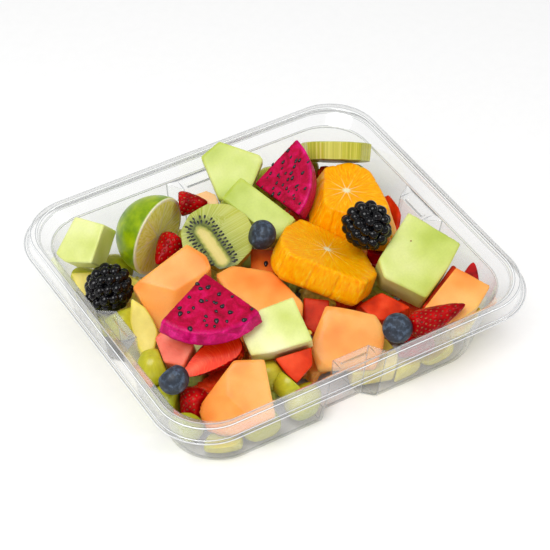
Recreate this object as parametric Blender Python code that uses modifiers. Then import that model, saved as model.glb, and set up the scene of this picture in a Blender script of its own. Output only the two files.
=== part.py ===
"""Fruit salad in a clear oblong tray with lugs, a rolled rim and no lid.

Everything is measured in millimetres and turned to metres where a mesh is made.
The tray stands on Z = 0 with its long side along X. Fruit near the top is laid
first and keeps its shape, and what lies under it is pressed flat against it.
"""
import math

import bmesh
import bpy
import numpy as np
from mathutils import Matrix, Vector

MM = 0.001
GAP = 0.35                 # air left between two pieces that touch

# Tray: sizes at the outer line of the rim
RIM_LENGTH = 220.0
RIM_WIDTH = 193.4
TRAY_HEIGHT = 51.5
SHEET = 0.8                # wall thickness
CORNER_STEPS = 6
# Underside of the sheet, from the floor up, over the rim and down the skirt:
# inset from the rim's outer line, height, corner radius
TRAY_PROFILE = (
    (21.5, 0.0, 24.0),
    (18.8, 0.8, 26.0),
    (17.3, 2.8, 27.0),
    (16.8, 6.0, 27.3),
    (10.3, 42.6, 25.6),
    (10.0, 43.6, 25.4),
    (8.6, 45.0, 26.0),
    (5.4, 48.2, 27.0),
    (4.4, 49.8, 27.4),
    (2.4, 50.7, 27.6),
    (1.0, 50.7, 27.8),
    (0.3, 49.6, 28.2),
    (-0.5, 44.2, 29.0),
    (-0.9, 43.2, 29.4),
    (-2.7, 42.8, 31.0),
)
LUG_TOP = 43.0             # height of the ledge on each of the four lugs
LUG_HALF_WALL = 17.5       # half its width where it leaves the wall
LUG_HALF_FACE = 11.0       # half its width at its inner face
LUG_DEPTH_FLOOR = 6.0
LUG_DEPTH_TOP = 9.0

# Fruit
GRAPE = (9.6, 9.6, 11.5)   # half sizes
BLUEBERRY = 8.2
BLUEBERRY_FLATNESS = 0.93  # its height against its width
CROWN_WIDTH = 0.42         # the crown's radius and depth against the berry's radius
CROWN_DEPTH = 0.16
BRAMBLE = (13.2, 12.6, 13.6)
DRUPELETS = 46
DRUPELET_HEIGHT = 0.13
KIWI_RADIUS = 20.5
KIWI_SIDES = 11
KIWI_TAPER = 0.96          # its lower face against its upper one
RIND_STEPS = 6             # straight cuts along a wedge's rind
LIME_RADIUS = 23.0
SEED = 7

HONEYDEW = ("#D3E08A", 0.35)
CANTALOUPE = ("#FFA351", 0.35)
WATERMELON = ("#E8614A", 0.4)
STRAWBERRY = ("#C81E1E", 0.3)
DRAGON_FRUIT = ("#B8114F", 0.4)
ORANGE = ("#FF9A12", 0.3)
KIWI = ("#A6BC4A", 0.35)
LIME = ("#6FA516", 0.35)
BLACK = ("#15141A", 0.25)
BLUE = ("#3A4656", 0.6)
GREEN_GRAPE = ("#C9CC4F", 0.25)
PINEAPPLE = ("#E5D25A", 0.4)
CLEAR = ("#F4F6F6", 0.05)


def metres(*millimetres):
    """A point given in millimetres."""
    return Vector(millimetres) * MM


def make_material(name, colour, roughness):
    """A plain finish from an sRGB hex colour."""
    srgb = np.array([int(colour[i:i + 2], 16) for i in (1, 3, 5)]) / 255
    linear = np.where(srgb > 0.04045, ((srgb + 0.055) / 1.055) ** 2.4, srgb / 12.92)
    material = bpy.data.materials.new(name)
    material.use_nodes = True
    shader = material.node_tree.nodes["Principled BSDF"]
    shader.inputs["Base Color"].default_value = (*linear, 1.0)
    shader.inputs["Roughness"].default_value = roughness
    shader.inputs["Metallic"].default_value = 0.0
    return material


class Piece:
    """One solid: its mesh in its own axes, and where it lies."""

    def __init__(self, name, finish, mesh, matrix):
        self.name = name
        self.finish = finish
        self.mesh = mesh
        self.matrix = matrix
        self.points = self.world_points()

    def world_points(self):
        """Its corners in the tray's axes."""
        return np.array([self.matrix @ v.co for v in self.mesh.verts])

    def cut(self, point, normal):
        """Cut off what lies beyond a plane given in the tray's axes."""
        inverse = self.matrix.inverted()
        knife(self.mesh, inverse @ Vector(point), inverse.to_3x3() @ Vector(normal))
        self.points = self.world_points()

    def volume(self):
        """Its size in cubic millimetres."""
        return self.mesh.calc_volume() / MM ** 3 if len(self.mesh.faces) > 3 else 0.0

    def finish_object(self, collection):
        """Make the object, with its own finish, and put it in a collection."""
        data = bpy.data.meshes.new(self.name)
        self.mesh.to_mesh(data)
        self.mesh.free()
        thing = bpy.data.objects.new(self.name, data)
        thing.matrix_world = self.matrix
        data.materials.append(make_material(self.name, *self.finish))
        collection.objects.link(thing)
        return thing


def knife(mesh, point, normal):
    """Slice a closed mesh, drop the part on the normal's side and close the cut."""
    everything = mesh.verts[:] + mesh.edges[:] + mesh.faces[:]
    bmesh.ops.bisect_plane(
        mesh, geom=everything, dist=1e-7, plane_co=point, plane_no=normal, clear_outer=True
    )
    open_edges = [edge for edge in mesh.edges if edge.is_boundary]
    bmesh.ops.holes_fill(mesh, edges=open_edges, sides=0)
    bmesh.ops.dissolve_degenerate(mesh, dist=1e-5, edges=mesh.edges[:])
    bmesh.ops.recalc_face_normals(mesh, faces=mesh.faces[:])


def place(at, lean=(0, 0), spin=0):
    """Lay a piece at a point, its Z axis tilted by some degrees toward a compass bearing."""
    tilt, toward = lean
    return (
        Matrix.Translation(metres(*at))
        @ Matrix.Rotation(math.radians(toward), 4, "Z")
        @ Matrix.Rotation(math.radians(tilt), 4, "Y")
        @ Matrix.Rotation(math.radians(spin), 4, "Z")
    )


def aim(start, end):
    """Lay a piece with its origin at start and its Z axis toward end."""
    direction = metres(*end) - metres(*start)
    turn = direction.to_track_quat("Z", "Y").to_matrix().to_4x4()
    return Matrix.Translation(metres(*start)) @ turn


def chunk(name, finish, at, lean, outline, thick, flare=0, belly=0, facets=()):
    """A knife-cut chunk: a block trimmed to an outline on its top face.

    flare turns the side cuts outward going down, in degrees. belly trims the lower
    edges at a slant, that many millimetres up each side. Each facet is one more cut
    through a point of the top face, with the way the cut looks.
    """
    mesh = bmesh.new()
    reach = 2.2 * max(math.hypot(x, y) for x, y in outline) + thick
    bmesh.ops.create_cube(mesh, size=2 * reach * MM)
    knife(mesh, metres(0, 0, 0), Vector((0, 0, 1)))
    knife(mesh, metres(0, 0, -thick), Vector((0, 0, -1)))
    slope = math.radians(flare)
    for (x0, y0), (x1, y1) in zip(outline, outline[1:] + outline[:1]):
        side = Vector((y1 - y0, x0 - x1, 0)).normalized()
        across = side * math.cos(slope) + Vector((0, 0, math.sin(slope)))
        knife(mesh, metres(x0, y0, 0), across)
        if belly:
            corner = metres(x0, y0, belly - thick)
            knife(mesh, corner, (side + Vector((0, 0, -1))).normalized())
    for point, way in facets:
        knife(mesh, metres(*point, 0), Vector(way).normalized())
    return Piece(name, finish, mesh, place(at, lean))


def wedge(name, at, lean, heading, radius, spread, thick, rind_lean):
    """A wedge of a round slice: two straight cuts from the middle and an arc of rind."""
    outline = [(0.0, 0.0)]
    for step in range(RIND_STEPS + 1):
        angle = math.radians(heading + spread * (step / RIND_STEPS - 0.5))
        outline.append((radius * math.cos(angle), radius * math.sin(angle)))
    mesh = bmesh.new()
    bmesh.ops.create_cube(mesh, size=4 * radius * MM)
    knife(mesh, metres(0, 0, 0), Vector((0, 0, 1)))
    knife(mesh, metres(0, 0, -thick), Vector((0, 0, -1)))
    slope = math.radians(rind_lean)
    for step, (x0, y0) in enumerate(outline):
        x1, y1 = outline[(step + 1) % len(outline)]
        side = Vector((y1 - y0, x0 - x1, 0)).normalized()
        on_rind = 0 < step < len(outline) - 1
        if on_rind:
            side = side * math.cos(slope) + Vector((0, 0, math.sin(slope)))
        knife(mesh, metres(x0, y0, 0), side)
    return Piece(name, DRAGON_FRUIT, mesh, place(at, lean))


def ball(name, finish, at, radii, lean=(0, 0), segments=14, rings=9):
    """A round or oval fruit."""
    mesh = bmesh.new()
    bmesh.ops.create_uvsphere(mesh, u_segments=segments, v_segments=rings, radius=MM)
    bmesh.ops.scale(mesh, vec=Vector(radii), verts=mesh.verts[:])
    return Piece(name, finish, mesh, place(at, lean))


def blueberry(name, at, lean):
    """A slightly flat ball with the sunken crown that the flower left."""
    radii = (BLUEBERRY, BLUEBERRY, BLUEBERRY * BLUEBERRY_FLATNESS)
    piece = ball(name, BLUE, at, radii, lean, 14, 10)
    crown_radius = CROWN_WIDTH * BLUEBERRY * MM
    for vertex in piece.mesh.verts:
        off_axis = math.hypot(vertex.co.x, vertex.co.y)
        if vertex.co.z > 0 and off_axis < crown_radius:
            vertex.co.z -= CROWN_DEPTH * BLUEBERRY * MM * (1 - off_axis / crown_radius)
    return piece


def evenly_round(count):
    """Points spread evenly over a ball of radius one, along a spiral."""
    step = np.arange(count) + 0.5
    height = 1 - 2 * step / count
    turn = math.pi * (1 + math.sqrt(5)) * step
    flat = np.sqrt(1 - height ** 2)
    return np.column_stack([flat * np.cos(turn), flat * np.sin(turn), height])


def bramble(name, at, lean):
    """A berry of many small round drupelets on an oval core."""
    mesh = bmesh.new()
    bmesh.ops.create_icosphere(mesh, subdivisions=4, radius=1.0)
    middles = evenly_round(DRUPELETS)
    spacing = math.sqrt(4 * math.pi / DRUPELETS) * 0.62
    for vertex in mesh.verts:
        away = np.linalg.norm(middles - np.array(vertex.co), axis=1).min() / spacing
        swell = math.sqrt(max(0.0, 1 - away * away))
        vertex.co *= 1 - DRUPELET_HEIGHT + DRUPELET_HEIGHT * 1.5 * swell
    bmesh.ops.scale(mesh, vec=Vector(BRAMBLE) * MM, verts=mesh.verts[:])
    return Piece(name, BLACK, mesh, place(at, lean))


def strawberry(name, start, tip, radius, halved_toward=None):
    """A tapered berry from its broad end to its tip, whole or cut lengthwise in half."""
    mesh = bmesh.new()
    bmesh.ops.create_uvsphere(mesh, u_segments=14, v_segments=9, radius=1.0)
    length = (metres(*tip) - metres(*start)).length
    for vertex in mesh.verts:
        along = (vertex.co.z + 1) / 2
        off_axis = math.hypot(vertex.co.x, vertex.co.y)
        wide = 1.15 * (1 - along) ** 0.62 * (1 - math.exp(-14 * along))
        scale = radius * MM * wide / off_axis if off_axis > 1e-6 else 0.0
        vertex.co = Vector((vertex.co.x * scale, vertex.co.y * scale, along * length))
    piece = Piece(name, STRAWBERRY, mesh, aim(start, tip))
    if halved_toward:
        middle = (metres(*start) + metres(*tip)) / 2
        piece.cut(middle + 0.3 * radius * MM * Vector(halved_toward), Vector(halved_toward))
    return piece


def lime_half(name, at, lean):
    """Half a lime: a ball cut through the middle, its cut face looking along lean."""
    piece = ball(name, LIME, at, (LIME_RADIUS, LIME_RADIUS, LIME_RADIUS * 1.03), lean, 20, 14)
    knife(piece.mesh, metres(0, 0, 0), Vector((0, 0, 1)))
    piece.points = piece.world_points()
    return piece


def kiwi_slice(name, at, lean, thick, spin=0):
    """A round slice whose edge was peeled flat by a knife, stroke by stroke."""
    mesh = bmesh.new()
    bmesh.ops.create_cone(
        mesh, cap_ends=True, segments=KIWI_SIDES, radius1=KIWI_TAPER * KIWI_RADIUS * MM,
        radius2=KIWI_RADIUS * MM, depth=thick * MM
    )
    bmesh.ops.translate(mesh, vec=metres(0, 0, -thick / 2), verts=mesh.verts[:])
    return Piece(name, KIWI, mesh, place(at, lean, spin))


def rounded_ring(inset, height, radius, lug_depth):
    """One level of the tray: a rounded oblong whose four sides step in at the lugs."""
    half_x = RIM_LENGTH / 2 - inset
    half_y = RIM_WIDTH / 2 - inset
    ring = []
    for quarter in range(4):
        turn = Matrix.Rotation(math.radians(90 * quarter), 3, "Z")
        forward, side = (half_x, half_y) if quarter % 2 == 0 else (half_y, half_x)
        for across, depth in (
            (-LUG_HALF_WALL, 0), (-LUG_HALF_FACE, lug_depth), (LUG_HALF_FACE, lug_depth), (LUG_HALF_WALL, 0)
        ):
            ring.append(turn @ metres(forward - depth, across, height))
        for step in range(CORNER_STEPS + 1):
            angle = math.radians(90 * step / CORNER_STEPS)
            x = forward - radius + radius * math.cos(angle)
            y = side - radius + radius * math.sin(angle)
            ring.append(turn @ metres(x, y, height))
    return ring


def lug_depth_at(height):
    """How far a lug stands in from the wall at a height, nothing above its ledge."""
    if height > LUG_TOP:
        return 0.0
    return LUG_DEPTH_FLOOR + (LUG_DEPTH_TOP - LUG_DEPTH_FLOOR) * height / LUG_TOP


def build_tray(collection):
    """A thin sheet through the stacked levels, closed by the floor and given its thickness."""
    mesh = bmesh.new()
    rings = []
    for inset, height, radius in TRAY_PROFILE:
        level = rounded_ring(inset, height, radius, lug_depth_at(height))
        rings.append([mesh.verts.new(point) for point in level])
    for lower, upper in zip(rings, rings[1:]):
        for index in range(len(lower)):
            after = (index + 1) % len(lower)
            mesh.faces.new((lower[index], lower[after], upper[after], upper[index]))
    mesh.faces.new(rings[0][::-1])
    data = bpy.data.meshes.new("tray")
    mesh.to_mesh(data)
    mesh.free()
    data.shade_smooth()
    data.set_sharp_from_angle(angle=math.radians(30))
    tray = bpy.data.objects.new("tray", data)
    data.materials.append(make_material("tray", *CLEAR))
    collection.objects.link(tray)
    solidify = tray.modifiers.new("sheet", "SOLIDIFY")
    solidify.thickness = SHEET * MM
    solidify.offset = -1
    solidify.use_even_offset = True
    return tray


def inner_planes():
    """Planes just inside the tray's floor and walls, as point and outward normal."""
    clear = SHEET * 1.05 + GAP
    facet = 90 / CORNER_STEPS
    sides = [(90 * quarter, 1.0) for quarter in range(4)]
    sides += [(facet * (step + 0.5), math.cos(math.radians(facet / 2))) for step in range(4 * CORNER_STEPS)]
    planes = [(np.array([0, 0, clear * MM]), np.array([0, 0, -1.0]))]
    for low, high in ((0, 1), (1, 3), (3, 5)):
        inset0, height0, radius0 = TRAY_PROFILE[low]
        inset1, height1, radius1 = TRAY_PROFILE[high]
        for bearing, chord in sides:
            flat = np.array([math.cos(math.radians(bearing)), math.sin(math.radians(bearing)), 0.0])
            reach0, reach1 = (
                (RIM_LENGTH / 2 - inset - radius) * abs(flat[0])
                + (RIM_WIDTH / 2 - inset - radius) * abs(flat[1]) + radius * chord
                for inset, radius in ((inset0, radius0), (inset1, radius1))
            )
            normal = flat * (height1 - height0) - np.array([0, 0, reach1 - reach0])
            normal /= np.linalg.norm(normal)
            point = flat * reach0 + np.array([0, 0, height0]) - normal * clear
            planes.append((point * MM, normal))
    return planes


def lug_points():
    """The corners of the four lugs with their sheet, each as one convex set."""
    sheet = SHEET + 0.2
    sets = []
    for quarter in range(4):
        turn = np.array(Matrix.Rotation(math.radians(90 * quarter), 3, "Z"))
        forward = (RIM_LENGTH if quarter % 2 == 0 else RIM_WIDTH) / 2
        corners = []
        for height, inset, depth in ((0, 19.0, LUG_DEPTH_FLOOR), (LUG_TOP + sheet, 10.0, LUG_DEPTH_TOP)):
            for half, inward in ((LUG_HALF_WALL + sheet, 0), (LUG_HALF_FACE + sheet / 2, depth + sheet)):
                corners += [(forward - inset - inward, side * half, height) for side in (-1, 1)]
        sets.append(np.array(corners) @ turn.T * MM)
    return sets


DIRECTIONS = evenly_round(700)
SMALLEST = 300.0           # cubic millimetres: less than this is no piece


def press_depth(upper, lower):
    """How deep two convex sets of points cross, and the direction that parts them."""
    rng = np.random.default_rng(SEED)
    tried = DIRECTIONS
    best, way = np.inf, None
    for spread in (0.08, 0.03, 0.01, 0.003):
        depth = (upper @ tried.T).max(axis=0) - (lower @ tried.T).min(axis=0)
        index = depth.argmin()
        if depth[index] < best:
            best, way = depth[index], tried[index]
        near = way + rng.normal(0, spread, (120, 3))
        tried = near / np.linalg.norm(near, axis=1, keepdims=True)
    return best, way


def boxes_meet(one, other):
    """True if the boxes round two sets of points meet or nearly do."""
    near = GAP * MM
    one_below_other = one.min(axis=0) < other.max(axis=0) + near
    one_above_other = one.max(axis=0) + near > other.min(axis=0)
    return bool((one_below_other & one_above_other).all())


def press_against(lower, obstacles, most=math.inf):
    """Flatten a piece against each obstacle it would cross. False if one goes deeper than most."""
    for points in obstacles:
        if not boxes_meet(points, lower.points):
            continue
        depth, way = press_depth(points, lower.points)
        if depth > most * MM:
            return False
        if depth > -GAP * MM:
            lower.cut(way * ((points @ way).max() + GAP * MM), -way)
            if lower.volume() < SMALLEST:
                return False
    return True


def trim_to_tray(piece, planes):
    """Flatten a piece where it would reach through the tray's wall or floor."""
    for point, normal in planes:
        if ((piece.points - point) @ normal).max() > 0:
            piece.cut(point, normal)


def upper_fruit():
    """Every piece that shows, from the top of the heap down."""
    return [
        bramble("bramble_right", (50, -15, 60), (70, -60)),
        bramble("bramble_left", (-81.5, 37, 33), (60, 20)),
        blueberry("blueberry_centre", (0, 12, 55), (60, 160)),
        blueberry("blueberry_front", (-86.5, -43, 37), (70, 100)),
        blueberry("blueberry_right", (31, -75, 43), (65, -150)),
        wedge("dragon_fruit_front", (-47.5, -8.4, 66.2), (16, -126), 11, 37, 89, 8, 18),
        wedge("dragon_fruit_back", (21, 54.4, 50.4), (35, -162), 127, 34.5, 83, 13, -8),
        kiwi_slice("kiwi_slice_back", (80, 61, 50), (44, 58), 10.5),
        chunk("orange_front", ORANGE, (28, -11, 50), (25, 2), [
            (-16, 22), (-30, 7), (-31, -5), (-14, -19), (2, -33), (20, -24), (26, -3), (25, 4),
            (14, 19), (3, 30)
        ], 18, 4, 2),
        chunk("orange_back", ORANGE, (64, 17, 54), (5, 1), [
            (-20, 10), (-22, -4), (-16, -17), (0, -28), (10, -20), (14, -8), (19, 13), (13, 25), (-8, 27)
        ], 19, 20),
        chunk("honeydew_front", HONEYDEW, (-30, -47, 47), (32, -129), [
            (4, -15), (14, -9), (11, 2), (2, 22), (-20, 9), (-11, -8)
        ], 17),
        strawberry("strawberry_right", (38, -76, 39), (71, -80, 45), 8.4),
        chunk("cantaloupe_left", CANTALOUPE, (-53, 10, 48), (29, -124), [
            (27, -9), (17, 0), (-8, 17), (-15, 14), (-21, 3), (4, -25)
        ], 18, 0, 0, [((3, -12), (0.5, -0.12, 1)), ((0, 6), (0.62, 0.45, 1))]),
        lime_half("lime_half", (-39, 58, 35), (89, -64)),
        chunk("honeydew_right", HONEYDEW, (66, -41, 48), (28, -112), [
            (0, -23), (6, -22), (22, 2), (6, 17), (-7, 26), (-28, 0)
        ], 21),
        kiwi_slice("kiwi_slice_front", (-18, 29, 49), (22, -125), 8, 12),
        chunk("honeydew_middle", HONEYDEW, (9, 32, 53), (32, -124), [
            (-4, -22), (19, 10), (4, 22), (-19, -10)
        ], 12),
        chunk("honeydew_back", HONEYDEW, (14, 63, 57), (40, -123), [
            (-7, -20), (17, -9), (20, 8), (-4, 17), (-9, 13), (-16, -10)
        ], 13),
        chunk("honeydew_left", HONEYDEW, (-87, 61, 50), (40, -151), [
            (10, -10), (12, -3), (7, 12), (-15, 10), (-13, -8)
        ], 19),
        chunk("cantaloupe_centre", CANTALOUPE, (-15, -18, 41), (16, -126), [
            (19, -7), (17, 14), (9, 20), (2, 20), (-16, 2), (-18, -20), (-12, -29)
        ], 13),
        chunk("cantaloupe_front", CANTALOUPE, (-65, -66, 28), (40, -123), [
            (5, -20), (18, -16), (19, -4), (6, 23), (-24, 16), (-23, 0)
        ], 15, 0, 8, [((-4, -3), (0, -0.38, 1)), ((-4, -3), (0.4, -0.35, 1))]),
        chunk("pineapple_front", PINEAPPLE, (23, -68, 20), (18, -110), [
            (10, -14), (9, 10), (0, 13), (-10, 8), (-12, -4), (-5, -15)
        ], 19, 0, 4),
        chunk("cantaloupe_middle", CANTALOUPE, (12, -60, 32), (38, -123), [
            (5, -22), (23, -15), (21, 12), (3, 18), (-5, 18), (-13, 13), (-17, -9), (-17, -14)
        ], 16),
        chunk("cantaloupe_right", CANTALOUPE, (73, -73, 42), (29, -118), [
            (6, -21), (13, -4), (5, 9), (-7, 17), (-18, -1)
        ], 15),
        strawberry("strawberry_cut", (-40, -32, 33), (-77, -36, 29), 11, (-0.3, -0.45, 0.84)),
        chunk("watermelon_left", WATERMELON, (-74, -23, 38), (29, -136), [
            (10, -4), (10, 8), (-1, 10), (-7, 6), (-9, -8), (-2, -12)
        ], 14),
        chunk("watermelon_front", WATERMELON, (-24, -62, 33), (40, -123), [
            (5, -5), (10, 1), (0, 9), (-11, 8), (-4, -12)
        ], 14),
        chunk("watermelon_dark", WATERMELON, (8, -32, 28), (35, -123), [
            (6, -7), (11, 0), (-1, 7), (-8, 7), (-9, -7)
        ], 14),
        chunk("watermelon_middle", WATERMELON, (39, -47, 31), (22, -125), [
            (6, -5), (8, 2), (-1, 17), (-10, -2), (-2, -13)
        ], 13),
        chunk("watermelon_back", WATERMELON, (82, 7, 36), (29, -124), [
            (6, -6), (15, -1), (10, 5), (-1, 6), (-15, 0), (-14, -4)
        ], 12),
        strawberry("strawberry_tip", (86, -62, 24), (95, -54, 43), 7.5),
        chunk("watermelon_sliver", WATERMELON, (74, -54, 34), (29, -124), [
            (11, -10), (14, -5), (-12, 9), (-14, 6)
        ], 12),
        chunk("strawberry_dark", STRAWBERRY, (57, -16, 34), (29, -124), [
            (5, -4), (6, 3), (-7, 6), (-5, -5)
        ], 12),
        chunk("cantaloupe_back", CANTALOUPE, (-5, 64, 43), (29, -124), [
            (4, -6), (4, 7), (-2, 8), (-5, 0), (-1, -9)
        ], 12),
        chunk("papaya_bit", CANTALOUPE, (2, 14, 33), (22, -125), [
            (6, -6), (8, 7), (-7, 7), (-7, -7)
        ], 12),
        strawberry("strawberry_back", (-22, 68, 44), (-6, 60, 44), 7.5),
        strawberry("strawberry_lime", (-31, 52, 35), (-49, 42, 32), 8.5),
        chunk("pineapple_left", PINEAPPLE, (-81, -1, 36), (35, -133), [
            (-2, -8), (15, 0), (11, 8), (1, 8), (-10, 1), (-15, -10)
        ], 14),
        chunk("pineapple_far", PINEAPPLE, (-87, 53, 26), (35, -123), [
            (8, -2), (5, 7), (-7, 4), (-6, -9)
        ], 14),
        ball("grape_front_left", GREEN_GRAPE, (-86, -19.5, 25), (10, 9.5, 10.5)),
        strawberry("strawberry_low", (-74, -45, 26), (-84, -52, 4), 8.5),
        strawberry("strawberry_front", (59, -68, 17), (37, -70, 14), 8.0),
    ]


# What fills the tray under the pieces that show: grapes along the walls, chunks inside
WALL_GRAPES = (
    (-73, -71, 6), (-51, -71, 9.5), (-23.5, -70, 11.5), (39, -71, 8), (60, -71, 9), (80, -62, 11),
    (-33, -51, 21), (-25, -62, 20), (-85, -53, 11), (-85, -38, 17), (-81, 21, 21), (-88, 32, 17),
    (-86, -8, 10), (-87, -29, 11)
)
RING_SPACING = 21.0
RING_FROM = -56.0          # the ring starts behind the front row
CHUNK_COLUMNS = (-59.0, -29.5, 0.0, 29.5, 59.0)
CHUNK_ROWS = (-45.0, -15.0, 15.0, 45.0)
CHUNK_SIDE = 33.0
CHUNK_THICK = 16.0
CHUNK_TOPS = (18.0, 21.0)
PROP_SIDE = 24.0
PROPPED_ABOVE = 20.0       # a piece whose lowest point is higher than this gets a prop
PROPPED_VOLUME = 9100.0    # if it is at least this large, in cubic millimetres
DEEPEST_PRESS = 4.5        # a grape that would lose more than this is left out


def square(side):
    """The outline of a square about the origin."""
    half = side / 2
    return [(-half, -half), (half, -half), (half, half), (-half, half)]


def wall_ring(inset, height):
    """Evenly spaced places along the inside of the walls, with the bearing of the wall."""
    half_x = RIM_LENGTH / 2 - inset
    half_y = RIM_WIDTH / 2 - inset
    for half, other, bearing in ((half_x, half_y, 0), (half_y, half_x, 90)):
        count = round(2 * half / RING_SPACING)
        for step in range(count):
            along = -half + 2 * half * step / count
            for side in (-1, 1):
                x, y = (side * along, side * other) if bearing == 0 else (-side * other, side * along)
                if y > RING_FROM and (x > 0 or y > RING_FROM + 90):
                    yield (x, y, height), bearing


def prop_under(piece, rng):
    """A chunk right under a piece that lies too high to rest on the others."""
    x, y, _ = piece.points.mean(axis=0) / MM
    top = piece.points[:, 2].min() / MM + 7
    lean = (rng.uniform(2, 8), rng.uniform(0, 360))
    return chunk("prop", CANTALOUPE, (x, y, top), lean, square(PROP_SIDE), top - 10)


def heap_members(upper):
    """Every chunk and grape of the heap, before it is pressed into place, and how far it may be."""
    rng = np.random.default_rng(SEED)
    for piece in upper:
        if piece.points[:, 2].min() > PROPPED_ABOVE * MM and piece.volume() > PROPPED_VOLUME:
            yield prop_under(piece, rng), math.inf
    for y in CHUNK_ROWS:
        for x in CHUNK_COLUMNS:
            at = (x, y, rng.uniform(*CHUNK_TOPS))
            lean = (rng.uniform(3, 9), rng.uniform(0, 360))
            yield chunk("inner", CANTALOUPE, at, lean, square(CHUNK_SIDE), CHUNK_THICK), math.inf
    spots = [(spot, 0, math.inf) for spot in WALL_GRAPES]
    for inset, height in ((27.5, 10.5), (25.0, 28.0)):
        spots += [(spot, bearing, DEEPEST_PRESS) for spot, bearing in wall_ring(inset, height)]
    for spot, bearing, most in spots:
        lean = (90 + rng.uniform(-14, 14), bearing + rng.uniform(-30, 30))
        yield ball("grape", GREEN_GRAPE, spot, GRAPE, lean, 9, 6), most


def join(members, name, finish, collection):
    """Fuse convex pieces into one body with one Boolean union and drop loose scraps."""
    tools = bpy.data.collections.new("heap_members")
    bpy.context.scene.collection.children.link(tools)
    things = [member.finish_object(tools) for member in members]
    base = things[0]
    tools.objects.unlink(base)
    bpy.context.scene.collection.objects.link(base)
    union = base.modifiers.new("fuse", "BOOLEAN")
    union.operation = "UNION"
    union.operand_type = "COLLECTION"
    union.collection = tools
    union.solver = "EXACT"
    evaluated = base.evaluated_get(bpy.context.evaluated_depsgraph_get())
    data = bpy.data.meshes.new_from_object(evaluated)
    data.transform(base.matrix_world)
    for thing in things:
        bpy.data.objects.remove(thing)
    bpy.data.collections.remove(tools)
    keep_largest(data)
    data.materials.clear()
    data.materials.append(make_material(name, *finish))
    heap = bpy.data.objects.new(name, data)
    collection.objects.link(heap)
    return heap


def keep_largest(data):
    """Leave only the body with the most corners, by walking from corner to corner."""
    mesh = bmesh.new()
    mesh.from_mesh(data)
    bmesh.ops.remove_doubles(mesh, verts=mesh.verts[:], dist=2e-6)
    bmesh.ops.dissolve_degenerate(mesh, dist=1e-6, edges=mesh.edges[:])
    left = set(mesh.verts)
    bodies = []
    while left:
        body, edge_of_body = set(), [left.pop()]
        while edge_of_body:
            vertex = edge_of_body.pop()
            body.add(vertex)
            for edge in vertex.link_edges:
                other = edge.other_vert(vertex)
                if other in left:
                    left.remove(other)
                    edge_of_body.append(other)
        bodies.append(body)
    bodies.sort(key=len)
    for body in bodies[:-1]:
        bmesh.ops.delete(mesh, geom=list(body), context="VERTS")
    mesh.to_mesh(data)
    mesh.free()


def build():
    """Lay the fruit from the top down, fill in below it and make every object."""
    for thing in list(bpy.data.objects):
        bpy.data.objects.remove(thing)
    salad = bpy.data.collections.new("fruit_salad")
    bpy.context.scene.collection.children.link(salad)
    build_tray(salad)
    planes = inner_planes()
    laid = lug_points()
    upper = upper_fruit()
    for piece in upper:
        trim_to_tray(piece, planes)
        press_against(piece, laid)
        laid.append(piece.points)
    members = []
    for member, most in heap_members(upper):
        trim_to_tray(member, planes)
        if press_against(member, laid, most):
            members.append(member)
    for piece in upper:
        piece.finish_object(salad)
    join(members, "lower_heap", GREEN_GRAPE, salad)


build()
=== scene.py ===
# %% [markdown]
# Fruit salad in a clear tray.
#
# A clear oblong tray holds cut melon, orange, kiwi, dragon fruit, lime and berries on a bed of
# grapes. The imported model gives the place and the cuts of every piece. This notebook gives each
# piece its rounded shape, its seeds and pores, and the finish of the real fruit.

import math

import bpy
import numpy as np
from mathutils import Matrix, Vector


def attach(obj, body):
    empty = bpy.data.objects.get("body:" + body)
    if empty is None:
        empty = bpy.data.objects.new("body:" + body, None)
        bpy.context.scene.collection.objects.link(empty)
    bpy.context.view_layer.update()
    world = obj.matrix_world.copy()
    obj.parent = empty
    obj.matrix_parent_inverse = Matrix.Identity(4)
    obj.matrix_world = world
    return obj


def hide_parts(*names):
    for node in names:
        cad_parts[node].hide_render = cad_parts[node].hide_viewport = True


MM = 0.001
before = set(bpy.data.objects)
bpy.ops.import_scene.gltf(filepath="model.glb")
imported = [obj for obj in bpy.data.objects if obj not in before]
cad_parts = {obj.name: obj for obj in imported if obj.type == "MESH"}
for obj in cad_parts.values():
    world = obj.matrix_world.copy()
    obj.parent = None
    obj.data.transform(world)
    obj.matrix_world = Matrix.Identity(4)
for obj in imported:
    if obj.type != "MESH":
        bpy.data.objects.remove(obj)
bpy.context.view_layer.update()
print("nodes in the frame:", len(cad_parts))

# %% [markdown]
# The camera comes first, because every later cell is judged through it.
#
# A product photograph like this is taken with a long lens from about a metre away, so the tray's
# far side is hardly smaller than its near side. The viewing direction, the distance and a small
# roll were measured from the rim and the base of the tray.

# %% Camera
FRAME_PIXELS = 550
FOCAL_PIXELS = 2204.4
SENSOR = 36.0
CAMERA_AT = (-469.2, -730.8, 866.5)         # millimetres
CAMERA_RIGHT = (0.851679, -0.523608, 0.021860)
CAMERA_UP = (0.348898, 0.597640, 0.721870)

lens = bpy.data.cameras.new("studio_camera")
lens.sensor_width = SENSOR
lens.lens = FOCAL_PIXELS / FRAME_PIXELS * SENSOR
camera = bpy.data.objects.new("studio_camera", lens)
bpy.context.scene.collection.objects.link(camera)
toward_camera = Vector(CAMERA_RIGHT).cross(Vector(CAMERA_UP))
turned = Matrix((CAMERA_RIGHT, CAMERA_UP, toward_camera)).transposed()
camera.matrix_world = Matrix.Translation(Vector(CAMERA_AT) * MM) @ turned.to_4x4()
bpy.context.scene.camera = camera
print("lens", round(lens.lens, 1), "mm")

# %% [markdown]
# The set is a white sweep under very soft light: a bright surrounding, one large lamp from behind
# the camera's left shoulder and a weak one from the right. That keeps the fruit's own colours and
# leaves only a faint shadow beside the tray.

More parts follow.
